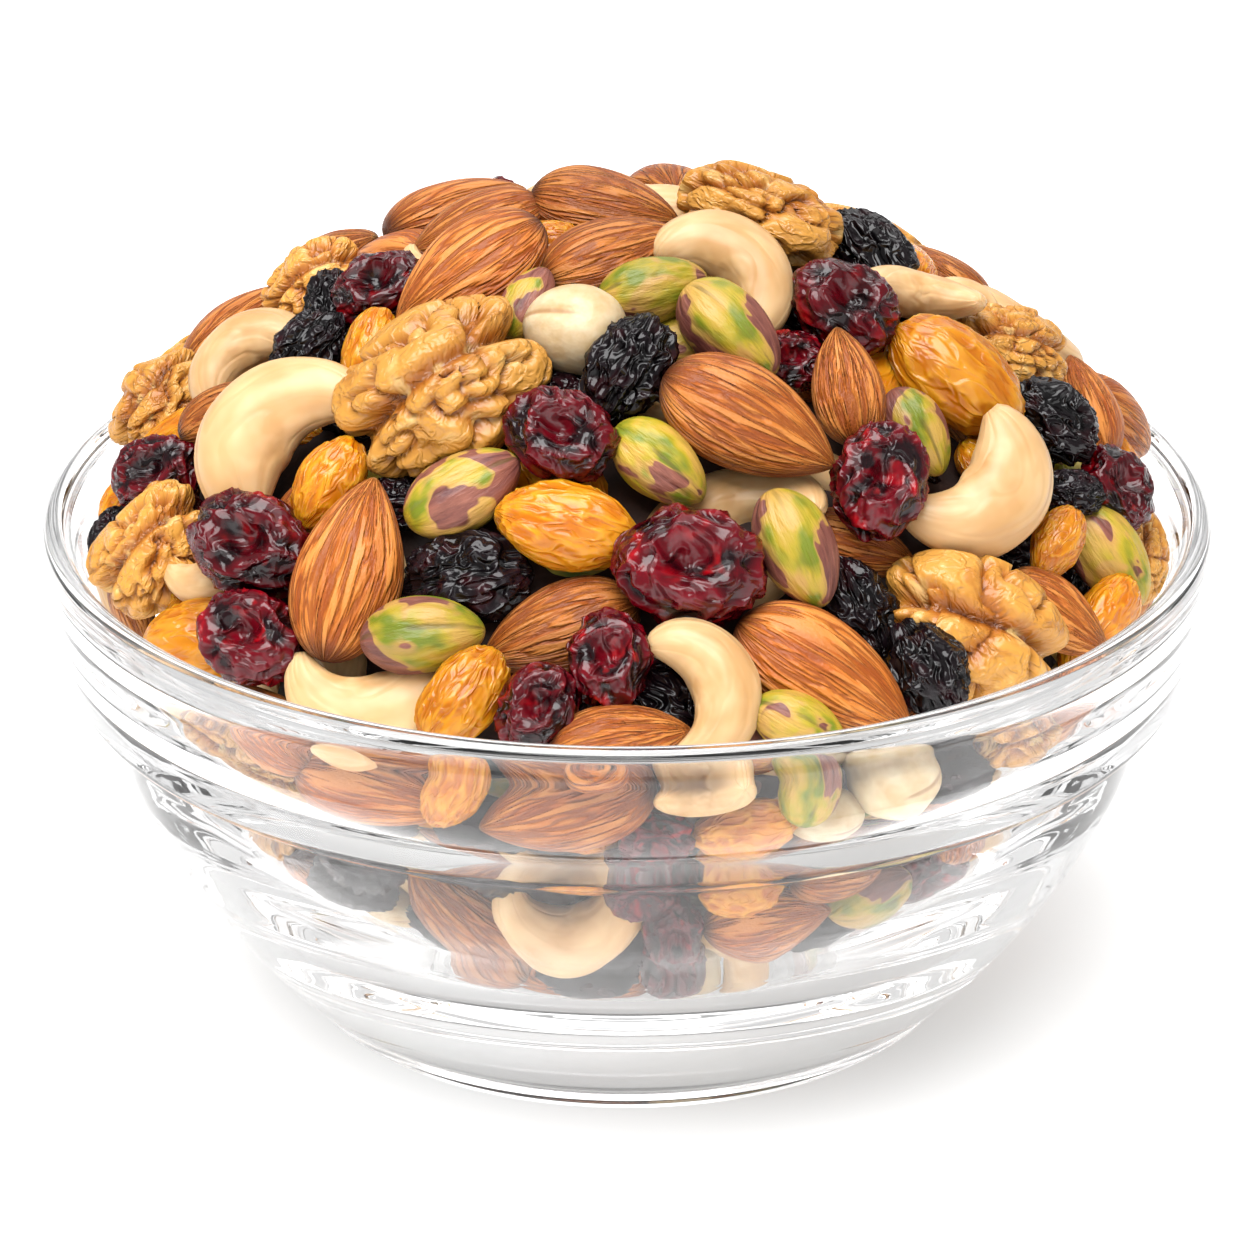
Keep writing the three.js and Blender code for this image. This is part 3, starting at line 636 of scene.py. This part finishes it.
def sultana_shape(p, number):
    warp = 0.6 * np.stack([noise(p * 1.6, number + k) for k in range(3)], axis=1)
    stretched = p * [3.8, 2.4, 3.8]
    ridges = 1 - np.abs(noise(stretched + warp, number + 3)) * 1.7
    relief = np.clip(ridges, 0, 1)
    swell = (0.94 + 0.06 * relief) * (1 + 0.06 * noise(p * 1.4, number + 5))
    return p * swell[:, None], relief


def hazelnut_shape(p, number):
    crease = np.exp(-((p[:, 0] / 0.09) ** 2)) * (p[:, 2] > 0) * smooth_step(-0.5, 0.3, p[:, 1])
    side = (1 - 0.1 * p[:, 1]) * (1 + 0.05 * noise(p * 1.6, number)) - 0.09 * crease
    return p * np.stack([side, np.ones_like(side), side], axis=1), 1 - crease


SHAPES = {
    "almond": almond_shape,
    "cashew": cashew_shape,
    "walnut": walnut_shape,
    "pistachio": pistachio_shape,
    "cranberry": cranberry_shape,
    "raisin": raisin_shape,
    "sultana": sultana_shape,
    "hazelnut": hazelnut_shape,
}
GLASS_CLEARANCE = 0.35


def fitted(local):
    """A shape stretched to reach from -1 to 1 each way, so that its piece has its true size."""
    low, high = local.min(axis=0), local.max(axis=0)
    return (2 * local - low - high) / (high - low)


def clear_of_glass(points):
    """Points of one piece moved in, until all below the rim are inside the bowl and above its floor."""
    for _ in range(2):
        low = points[points[:, 2] < BOWL_HEIGHT]
        if len(low) == 0:
            return points
        excess = np.hypot(low[:, 0], low[:, 1]) - cavity_radius(low[:, 2]) + GLASS_CLEARANCE
        middle = points.mean(axis=0)
        level = unit(middle * [1, 1, 0])
        points = points - level * max(0.0, float(excess.max()))
        points[:, 2] += max(0.0, FLOOR_HEIGHT + GLASS_CLEARANCE - float(points[:, 2].min()))
    return points


def kind_object(kind, pieces):
    """All pieces of one kind as one mesh."""
    seed_step = 17
    balls = {steps: ball(steps) for steps in FINENESS[kind]}
    parts = {"points": [], "faces": [], "place": [], "relief": [], "seed": []}
    first = 0
    for number, piece in enumerate(pieces):
        sphere, quads = balls[FINENESS[kind][piece.layer]]
        local, relief = SHAPES[kind](sphere, seed_step * number + len(kind))
        points = clear_of_glass((fitted(local) * piece.half) @ piece.axes + piece.middle)
        parts["points"].append(points)
        parts["faces"].append(quads + first)
        parts["place"].append(sphere)
        parts["relief"].append(relief)
        parts["seed"].append(np.full(len(points), (number * GOLDEN_ANGLE) % 1.0))
        first += len(points)
    joined = {key: np.concatenate(values) for key, values in parts.items()}
    attributes = {key: joined[key] for key in ("place", "relief", "seed")}
    return mesh_object(kind + "_pieces", joined["points"], joined["faces"], attributes)


def lathe(name, profile, steps):
    """A closed solid turned about Z from [radius, height] pairs that start and end on the axis."""
    angles = np.arange(steps) * 2 * math.pi / steps
    inner = profile[1:-1]
    rings = np.stack(
        [np.stack([r * np.cos(angles), r * np.sin(angles), np.full(steps, z)], axis=1) for r, z in inner]
    )
    points = np.concatenate([rings.reshape(-1, 3), [[0, 0, profile[0][1]], [0, 0, profile[-1][1]]]])
    ring, step = np.meshgrid(np.arange(len(inner) - 1), np.arange(steps), indexing="ij")
    after = (step + 1) % steps
    here = ring * steps
    quads = np.stack([here + step, here + after, here + steps + after, here + steps + step], axis=-1)
    quads = quads.reshape(-1, 4)
    turn = np.arange(steps)
    bottom, top = len(points) - 2, len(points) - 1
    last = (len(inner) - 1) * steps
    low_cap = np.stack([np.full(steps, bottom), (turn + 1) % steps, turn], axis=1)
    high_cap = np.stack([np.full(steps, top), last + turn, last + (turn + 1) % steps], axis=1)
    mesh = bpy.data.meshes.new(name)
    faces = [*quads.tolist(), *low_cap.tolist(), *high_cap.tolist()]
    mesh.from_pydata((points * MM).tolist(), [], faces)
    mesh.shade_smooth()
    built = bpy.data.objects.new(name, mesh)
    bpy.context.scene.collection.objects.link(built)
    return built


# ---- Bowl ----
def rounded(corners):
    """A profile whose corners (radius, height, rounding) are replaced by short arcs."""
    arc_steps = 5
    points = []
    for i, (radius, height, rounding) in enumerate(corners):
        here = np.array([radius, height])
        if rounding == 0:
            points.append(here)
            continue
        before = np.array(corners[i - 1][:2]) - here
        after = np.array(corners[i + 1][:2]) - here
        reach = min(rounding, np.linalg.norm(before) / 2.01, np.linalg.norm(after) / 2.01)
        start = here + unit(before) * reach
        end = here + unit(after) * reach
        for t in np.linspace(0, 1, arc_steps):
            points.append(start * (1 - t) ** 2 + here * 2 * t * (1 - t) + end * t**2)
    return points


def bowl_corners():
    ring = FOOT_RADIUS - RING_WIDTH
    under = [(0, FOOT_RECESS, 0), (ring - 1, FOOT_RECESS, 0.5), (ring, 0, 0.4), (FOOT_RADIUS, 0, 0.8)]
    foot = [
        (FOOT_RADIUS + 1.7, 1.4, 0.6),
        (FOOT_RADIUS + 2.7, 3.6, 0.8),
        (FOOT_RADIUS + 5.6, 5.6, 1.2),
        (FOOT_RADIUS + 8.4, 8.6, 1.5),
    ]
    wall = [(61.6, 16, 6), (68.4, 26, 7), (73.3, 36, 7), (78, LEDGE_HEIGHT - 1, 1.2)]
    band = [
        (LEDGE_RADIUS - 0.9, LEDGE_HEIGHT, 0.6),
        (LEDGE_RADIUS, LEDGE_HEIGHT + 1.2, 0.8),
        (RIM_RADIUS - 0.9, BOWL_HEIGHT - 8, 1.0),
    ]
    bead = [
        (RIM_RADIUS, BOWL_HEIGHT - 4, 1.6),
        (RIM_RADIUS - 0.5, BOWL_HEIGHT - 1, 0.8),
        (RIM_RADIUS - 1.8, BOWL_HEIGHT, 0.7),
        (RIM_RADIUS - 2.9, BOWL_HEIGHT, 0.7),
    ]
    inside = [(radius, height, 4) for radius, height in reversed(CAVITY)]
    return [*under, *foot, *wall, *band, *bead, *inside, (0, FLOOR_HEIGHT, 0)]


def make_bowl():
    bowl = lathe("clear_bowl", rounded(bowl_corners()), BOWL_STEPS)
    bowl.data.materials.append(glass_material())
    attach(bowl, "root")
    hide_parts("glass_bowl")


# ---- Materials ----
def linear(red, green, blue):
    """A colour given as it shows on a screen, from 0 to 255, as Blender's linear colour."""
    shown = np.array([red, green, blue]) / 255
    light = np.where(shown <= 0.04045, shown / 12.92, ((shown + 0.055) / 1.055) ** 2.4)
    return (*[float(value) for value in light], 1.0)


class Finish:
    """A material and short calls that add nodes to it."""

    def __init__(self, name):
        self.material = bpy.data.materials.new(name)
        self.material.use_nodes = True
        self.tree = self.material.node_tree
        self.shader = self.tree.nodes["Principled BSDF"]
        self.output = self.tree.nodes["Material Output"]

    def put(self, socket, value):
        if isinstance(value, bpy.types.NodeSocket):
            self.tree.links.new(value, socket)
        else:
            socket.default_value = value

    def add(self, sort, settings=None, **inputs):
        node = self.tree.nodes.new("ShaderNode" + sort)
        for key, value in (settings or {}).items():
            setattr(node, key, value)
        for key, value in inputs.items():
            self.put(node.inputs[key.replace("_", " ")], value)
        return node

    def set(self, **inputs):
        for key, value in inputs.items():
            self.put(self.shader.inputs[key.replace("_", " ")], value)

    def read(self, name, field="Fac"):
        return self.add("Attribute", {"attribute_name": name}).outputs[field]

    def vector(self, operation, first, second):
        node = self.add("VectorMath", {"operation": operation})
        self.put(node.inputs[0], first)
        if second is not None:
            self.put(node.inputs["Scale" if operation == "SCALE" else 1], second)
        return node.outputs[0]

    def math(self, operation, first, second):
        node = self.add("Math", {"operation": operation})
        self.put(node.inputs[0], first)
        self.put(node.inputs[1], second)
        return node.outputs[0]

    def noise(self, vector, scale, detail=3.0, roughness=0.5, distortion=0.0):
        inputs = dict(Vector=vector, Scale=scale, Detail=detail, Roughness=roughness, Distortion=distortion)
        return self.add("TexNoise", None, **inputs).outputs["Fac"]

    def creases(self, vector, scale, detail, distortion):
        """Sharp ridges of 1 between rounded hollows of 0."""
        width = 0.15
        middle = self.math("SUBTRACT", self.noise(vector, scale, detail, 0.5, distortion), 0.5)
        return self.remap(self.math("ABSOLUTE", middle, 0.0), 0.0, width, 1.0, 0.0)

    def remap(self, value, low, high, to_low=0.0, to_high=1.0):
        node = self.add("MapRange", {"interpolation_type": "SMOOTHSTEP"}, Value=value)
        for key, number in (("From Min", low), ("From Max", high), ("To Min", to_low), ("To Max", to_high)):
            node.inputs[key].default_value = number
        return node.outputs["Result"]

    def ramp(self, value, *stops):
        node = self.add("ValToRGB", None, Fac=value)
        elements = node.color_ramp.elements
        for element, (place, colour) in zip(elements, (stops[0], stops[-1])):
            element.position = place
            element.color = linear(*colour)
        for place, colour in stops[1:-1]:
            elements.new(place).color = linear(*colour)
        return node.outputs["Color"]

    def mix(self, share, first, second, blend="MIX"):
        node = self.add("Mix", {"data_type": "RGBA", "blend_type": blend})
        for socket, value in zip([node.inputs[0], node.inputs[6], node.inputs[7]], [share, first, second]):
            self.put(socket, value)
        return node.outputs[2]

    def bump(self, height, depth, after=None):
        """Relief of a depth in millimetres."""
        node = self.add("Bump", None, Height=height, Strength=1.0, Distance=depth * MM)
        if after is not None:
            self.put(node.inputs["Normal"], after)
        return node.outputs["Normal"]

    def moved_apart(self, vector):
        """Coordinates that differ from piece to piece, so that no two pieces have the same pattern."""
        furthest = (13.0, 29.0, 47.0)
        return self.vector("ADD", vector, self.vector("SCALE", furthest, self.read("seed")))

    def spread(self):
        """A piece's own coordinates."""
        return self.moved_apart(self.read("place", "Vector"))

    def lengthwise(self, rate, along_rate):
        """Coordinates in which features run along the piece."""
        place = self.read("place", "Vector")
        ring = self.vector("NORMALIZE", self.vector("MULTIPLY", place, (1.0, 0.0, 1.0)), None)
        along = self.vector("MULTIPLY", place, (0.0, along_rate, 0.0))
        return self.moved_apart(self.vector("ADD", self.vector("SCALE", ring, rate), along))

    def uneven(self, colour, low, high):
        """The colour, lighter or darker from piece to piece."""
        level = self.remap(self.read("seed"), 0.0, 1.0, low, high)
        grey = self.add("CombineColor", None, Red=level, Green=level, Blue=level).outputs[0]
        return self.mix(1.0, colour, grey, "MULTIPLY")

    def soften(self, weight, radius):
        """Light that enters the flesh, and how far it goes there in metres, by colour."""
        self.set(Subsurface_Weight=weight, Subsurface_Radius=radius, Subsurface_Scale=1.0)


def almond_finish():
    skin = Finish("almond_skin")
    cloud = skin.noise(skin.lengthwise(3.0, 0.8), 1.2, 3.0)
    colour = skin.ramp(cloud, (0.35, (186, 96, 30)), (0.65, (216, 130, 54)))
    lines = skin.creases(skin.lengthwise(4.6, 1.0), 1.1, 2.0, 0.4)
    # painted highlight: the raised skin between the sunk lines is lightened
    colour = skin.mix(skin.remap(lines, 0.3, 0.0, 0.0, 0.4), colour, linear(228, 158, 84))
    # painted shade: the sunk lines are darkened
    colour = skin.mix(skin.remap(lines, 0.62, 1.0, 0.0, 0.7), colour, linear(126, 54, 14))
    # painted shade: darker in the creases of the shape's relief
    colour = skin.mix(skin.remap(skin.read("relief"), 0.45, 0.1, 0.0, 0.4), colour, linear(156, 70, 18))
    along = skin.add("SeparateXYZ", None, Vector=skin.read("place", "Vector")).outputs["Y"]
    colour = skin.mix(skin.remap(along, -0.75, -1.0, 0.0, 0.85), colour, linear(84, 40, 22))
    colour = skin.mix(skin.remap(along, 0.97, 1.0, 0.0, 0.8), colour, linear(226, 172, 104))
    dust = skin.noise(skin.spread(), 20.0, 2.0)
    skin.set(
        Base_Color=skin.uneven(colour, 0.78, 1.08),
        Roughness=0.42,
        Specular_IOR_Level=0.35,
        Normal=skin.bump(dust, 0.12, skin.bump(lines, -0.42)),
    )
    return skin.material


def cashew_finish():
    flesh = Finish("cashew_flesh")
    cloud = flesh.noise(flesh.spread(), 1.4, 2.0)
    colour = flesh.ramp(cloud, (0.35, (212, 164, 108)), (0.65, (232, 192, 140)))
    lines = flesh.creases(flesh.lengthwise(1.2, 0.7), 1.2, 1.0, 0.2)
    # painted shade: darker along the sunk lines
    colour = flesh.mix(flesh.remap(lines, 0.7, 1.0, 0.0, 0.25), colour, linear(206, 154, 94))
    # painted shade: darker in the groove of the seam
    colour = flesh.mix(flesh.remap(flesh.read("relief"), 0.8, 0.1, 0.0, 0.6), colour, linear(184, 134, 80))
    flesh.set(Base_Color=flesh.uneven(colour, 0.9, 1.04), Roughness=0.38, Normal=flesh.bump(lines, -0.08))
    flesh.soften(0.2, (0.004, 0.0022, 0.001))
    return flesh.material


def walnut_finish():
    skin = Finish("walnut_skin")
    relief = skin.read("relief")
    # painted shade and light: dark in the folds between the lobes, lighter on the lobes' tops
    colour = skin.ramp(relief, (0.05, (92, 40, 8)), (0.5, (180, 106, 34)), (0.98, (220, 156, 68)))
    mottle = skin.noise(skin.spread(), 3.0, 3.0)
    colour = skin.mix(skin.remap(mottle, 0.56, 0.72, 0.0, 0.7), colour, linear(244, 204, 130))
    colour = skin.mix(skin.remap(mottle, 0.45, 0.3, 0.0, 0.5), colour, linear(162, 88, 24))
    fine = skin.creases(skin.spread(), 5.0, 2.0, 0.4)
    skin.set(Base_Color=skin.uneven(colour, 0.86, 1.06), Roughness=0.3, Normal=skin.bump(fine, 0.2))
    return skin.material


def pistachio_finish():
    skin = Finish("pistachio_skin")
    grain = skin.noise(skin.lengthwise(2.2, 0.9), 1.8, 4.0, 0.55)
    cloud = skin.noise(skin.spread(), 1.2, 2.0)
    colour = skin.ramp(cloud, (0.38, (118, 130, 24)), (0.5, (184, 160, 40)), (0.62, (204, 162, 74)))
    colour = skin.mix(skin.remap(grain, 0.45, 0.3, 0.0, 0.4), colour, linear(120, 112, 26))
    patch = skin.noise(skin.spread(), 0.9, 2.0, 0.4, 0.5)
    colour = skin.mix(skin.remap(patch, 0.5, 0.56, 0.0, 0.7), colour, linear(200, 150, 84))
    skin_colour = skin.ramp(grain, (0.3, (96, 48, 46)), (0.7, (158, 98, 80)))
    colour = skin.mix(skin.remap(patch, 0.565, 0.585), colour, skin_colour)
    # painted shade: darker in the split
    colour = skin.mix(skin.remap(skin.read("relief"), 0.3, 0.0, 0.0, 0.6), colour, linear(92, 76, 30))
    skin.set(Base_Color=skin.uneven(colour, 0.86, 1.1), Roughness=0.4, Normal=skin.bump(grain, 0.5))
    return skin.material


def cranberry_finish():
    skin = Finish("cranberry_skin")
    relief = skin.read("relief")
    # painted shade and light: dark in the folds, lighter on the ridges
    colour = skin.ramp(relief, (0.1, (24, 1, 5)), (0.5, (78, 2, 12)), (0.95, (108, 4, 20)))
    spots = skin.noise(skin.spread(), 1.8, 2.0)
    colour = skin.mix(skin.remap(spots, 0.58, 0.75, 0.0, 0.8), colour, linear(176, 8, 20))
    creases = skin.creases(skin.spread(), 2.0, 1.0, 0.5)
    skin.set(
        Base_Color=skin.uneven(colour, 0.75, 1.15),
        Roughness=0.16,
        Specular_IOR_Level=0.4,
        Normal=skin.bump(creases, 0.6),
        Coat_Weight=0.2,
        Coat_Roughness=0.05,
    )
    skin.soften(0.15, (0.003, 0.0004, 0.0004))
    return skin.material


def raisin_finish():
    skin = Finish("raisin_skin")
    relief = skin.read("relief")
    # painted shade and light: darker in the creases, lighter on the ridges
    colour = skin.ramp(relief, (0.2, (7, 4, 6)), (0.9, (28, 18, 23)))
    tint = skin.noise(skin.spread(), 1.6, 2.0)
    colour = skin.mix(skin.remap(tint, 0.52, 0.7, 0.0, 0.6), colour, linear(56, 16, 22))
    creases = skin.creases(skin.lengthwise(1.4, 1.2), 1.8, 1.0, 0.5)
    skin.set(
        Base_Color=skin.uneven(colour, 0.7, 1.2),
        Roughness=0.17,
        Specular_IOR_Level=0.4,
        Normal=skin.bump(creases, 0.6),
    )
    return skin.material


def sultana_finish():
    skin = Finish("sultana_skin")
    relief = skin.read("relief")
    # painted shade and light: darker in the creases, lighter on the ridges
    colour = skin.ramp(relief, (0.2, (200, 112, 6)), (0.6, (216, 134, 14)), (0.95, (228, 152, 30)))
    cloud = skin.noise(skin.spread(), 1.1, 2.0)
    colour = skin.mix(skin.remap(cloud, 0.5, 0.7, 0.0, 0.5), colour, linear(230, 160, 30))
    lines = skin.creases(skin.lengthwise(1.5, 1.1), 2.0, 1.0, 0.6)
    # painted highlight: the raised wrinkle lines are lightened
    colour = skin.mix(skin.remap(lines, 0.6, 1.0, 0.0, 0.1), colour, linear(244, 196, 96))
    skin.set(Base_Color=skin.uneven(colour, 0.82, 1.08), Roughness=0.25, Normal=skin.bump(lines, 0.2))
    skin.soften(0.4, (0.005, 0.002, 0.0004))
    return skin.material


def hazelnut_finish():
    flesh = Finish("hazelnut_flesh")
    cloud = flesh.noise(flesh.spread(), 2.0, 3.0)
    colour = flesh.ramp(cloud, (0.3, (214, 178, 124)), (0.7, (238, 216, 178)))
    colour = flesh.mix(flesh.remap(flesh.read("relief"), 0.7, 0.1, 0.0, 0.7), colour, linear(176, 124, 70))
    flesh.set(Base_Color=flesh.uneven(colour, 0.9, 1.05), Roughness=0.4, Normal=flesh.bump(cloud, 0.4))
    flesh.soften(0.2, (0.004, 0.0025, 0.0012))
    return flesh.material


FINISHES = {
    "almond": almond_finish,
    "cashew": cashew_finish,
    "walnut": walnut_finish,
    "pistachio": pistachio_finish,
    "cranberry": cranberry_finish,
    "raisin": raisin_finish,
    "sultana": sultana_finish,
    "hazelnut": hazelnut_finish,
}


# Painted shade: the heap's core is a near-black brown solid that stands for the shade deep between the pieces.
def core_finish():
    core_shade = Finish("heap_shade")
    place = core_shade.add("TexCoord").outputs["Object"]
    grain = core_shade.noise(place, 180.0, 3.0)
    core_shade.set(
        Base_Color=core_shade.ramp(grain, (0.3, (26, 12, 8)), (0.7, (58, 30, 16))),
        Roughness=0.8,
        Normal=core_shade.bump(grain, 1.5),
    )
    return core_shade.material


def glass_material():
    """Clear glass that bends what is seen through it, and lets the pieces' light pass straight."""
    glass = Finish("bowl_glass")
    glass.set(Base_Color=(1.0, 1.0, 1.0, 1.0), Roughness=0.0, IOR=1.45, Transmission_Weight=1.0)
    straight = glass.add("BsdfTransparent", None, Color=(0.97, 0.98, 0.98, 1.0)).outputs[0]
    path = glass.add("LightPath")
    lighting = glass.math("MAXIMUM", path.outputs["Is Shadow Ray"], path.outputs["Is Diffuse Ray"])
    both = glass.add("MixShader", None, Fac=lighting)
    glass.put(both.inputs[1], glass.shader.outputs[0])
    glass.put(both.inputs[2], straight)
    glass.put(glass.output.inputs["Surface"], both.outputs[0])
    return glass.material


# ---- Heap ----
def core_profile():
    floor = FLOOR_HEIGHT + 1
    wall = [(24, floor), (40, 20), (56, 42), (66, 60), (64, 70)]
    dome = [(radius, float(skin_height(radius, 0.0)) - INNER_CORE_DEPTH) for radius in (58, 48, 36, 24, 12)]
    top = float(skin_height(0.0, 0.0)) - INNER_CORE_DEPTH
    return [(0, floor), *wall, *dome, (0, top)]


def make_heap():
    pieces = placed_pieces()
    for kind in KINDS:
        built = kind_object(kind, [piece for piece in pieces if piece.kind == kind])
        built.data.materials.append(FINISHES[kind]())
        dress_heap(built)
    core = lathe("heap_core", core_profile(), CORE_STEPS)
    for vertex in core.data.vertices:
        x, y, z = np.array(vertex.co) / MM
        if z > FILL_HEIGHT:
            vertex.co.z = (float(skin_height(x, y)) - INNER_CORE_DEPTH) * MM
    core.data.materials.append(core_finish())
    dress_heap(core)


def dress_heap(built):
    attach(built, "root")
    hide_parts("mixed_nuts")


# ---- Stage ----
GLASS_BOUNCES = 14  # with fewer, the sides of the glass go dark, and with more, they lose their grey streaks
DIFFUSE_BOUNCES = 1  # keeps the gaps between the pieces dark
LIGHTS_AIM_HEIGHT = 0.07

# Strength of the room's light: what clear glass shows of it level with the eye, and from a slope upwards,
# and what lights everything else.
ROOM_LOW = 0.42
ROOM_HIGH = 1.1
ROOM_SLOPE = 0.5
ROOM_FILL = 0.33


def make_camera():
    data = bpy.data.cameras.new("view")
    data.sensor_width = 36.0
    data.lens = data.sensor_width * PIXELS_PER_MM * VIEW_DISTANCE / VIEW_SIZE
    camera = bpy.data.objects.new("view", data)
    camera.location = EYE * MM
    camera.rotation_euler = (math.pi / 2 - VIEW_ELEVATION, 0, 0)
    bpy.context.scene.collection.objects.link(camera)
    bpy.context.scene.camera = camera


def make_light(name, place, size, power):
    """A square soft white light that faces the bowl."""
    data = bpy.data.lights.new(name, "AREA")
    data.size = size
    data.energy = power
    light = bpy.data.objects.new(name, data)
    light.location = place
    x, y, z = np.array([0, 0, LIGHTS_AIM_HEIGHT]) - np.array(place)
    light.rotation_euler = (math.atan2(math.hypot(x, y), -z), 0, math.atan2(-x, y))
    bpy.context.scene.collection.objects.link(light)


def make_floor():
    """A white sheet that shines a little, so that only a soft shadow shows on it."""
    reach = 4000.0
    corners = np.array([(-reach, -reach, 0), (reach, -reach, 0), (reach, reach, 0), (-reach, reach, 0)])
    floor = mesh_object("floor", corners, np.array([[0, 1, 2, 3]]))
    paper = Finish("white_paper")
    paper.set(
        Base_Color=(0.92, 0.92, 0.92, 1.0),
        Roughness=0.9,
        Emission_Color=(1.0, 1.0, 1.0, 1.0),
        Emission_Strength=0.42,
    )
    floor.data.materials.append(paper.material)


def make_world():
    """A white room, greyer low down, as clear glass shows it. It lights the rest softly."""
    world = bpy.data.worlds.new("studio")
    world.use_nodes = True
    nodes, links = world.node_tree.nodes, world.node_tree.links
    direction = nodes.new("ShaderNodeSeparateXYZ")
    links.new(nodes.new("ShaderNodeTexCoord").outputs["Generated"], direction.inputs[0])
    room = nodes.new("ShaderNodeMapRange")
    for key, number in (("From Max", ROOM_SLOPE), ("To Min", ROOM_LOW), ("To Max", ROOM_HIGH)):
        room.inputs[key].default_value = number
    links.new(direction.outputs["Z"], room.inputs["Value"])
    strength = nodes.new("ShaderNodeMapRange")
    strength.inputs["To Min"].default_value = ROOM_FILL
    links.new(nodes.new("ShaderNodeLightPath").outputs["Is Singular Ray"], strength.inputs["Value"])
    links.new(room.outputs["Result"], strength.inputs["To Max"])
    background = nodes["Background"]
    background.inputs["Color"].default_value = (1.0, 1.0, 1.0, 1.0)
    links.new(strength.outputs["Result"], background.inputs["Strength"])
    bpy.context.scene.world = world


def make_stage():
    make_camera()
    make_world()
    make_light("key", (-0.22, -0.35, 1.5), 1.3, 38.0)
    make_light("front", (0.3, -1.9, 0.5), 1.6, 7.0)
    make_light("back", (0.2, 1.4, 1.1), 1.2, 6.0)
    make_floor()
    scene = bpy.context.scene
    scene.view_settings.view_transform = "Standard"
    for bounces in ("glossy_bounces", "transmission_bounces", "max_bounces"):
        setattr(scene.cycles, bounces, GLASS_BOUNCES)
    scene.cycles.diffuse_bounces = DIFFUSE_BOUNCES


make_stage()
make_bowl()
make_heap()
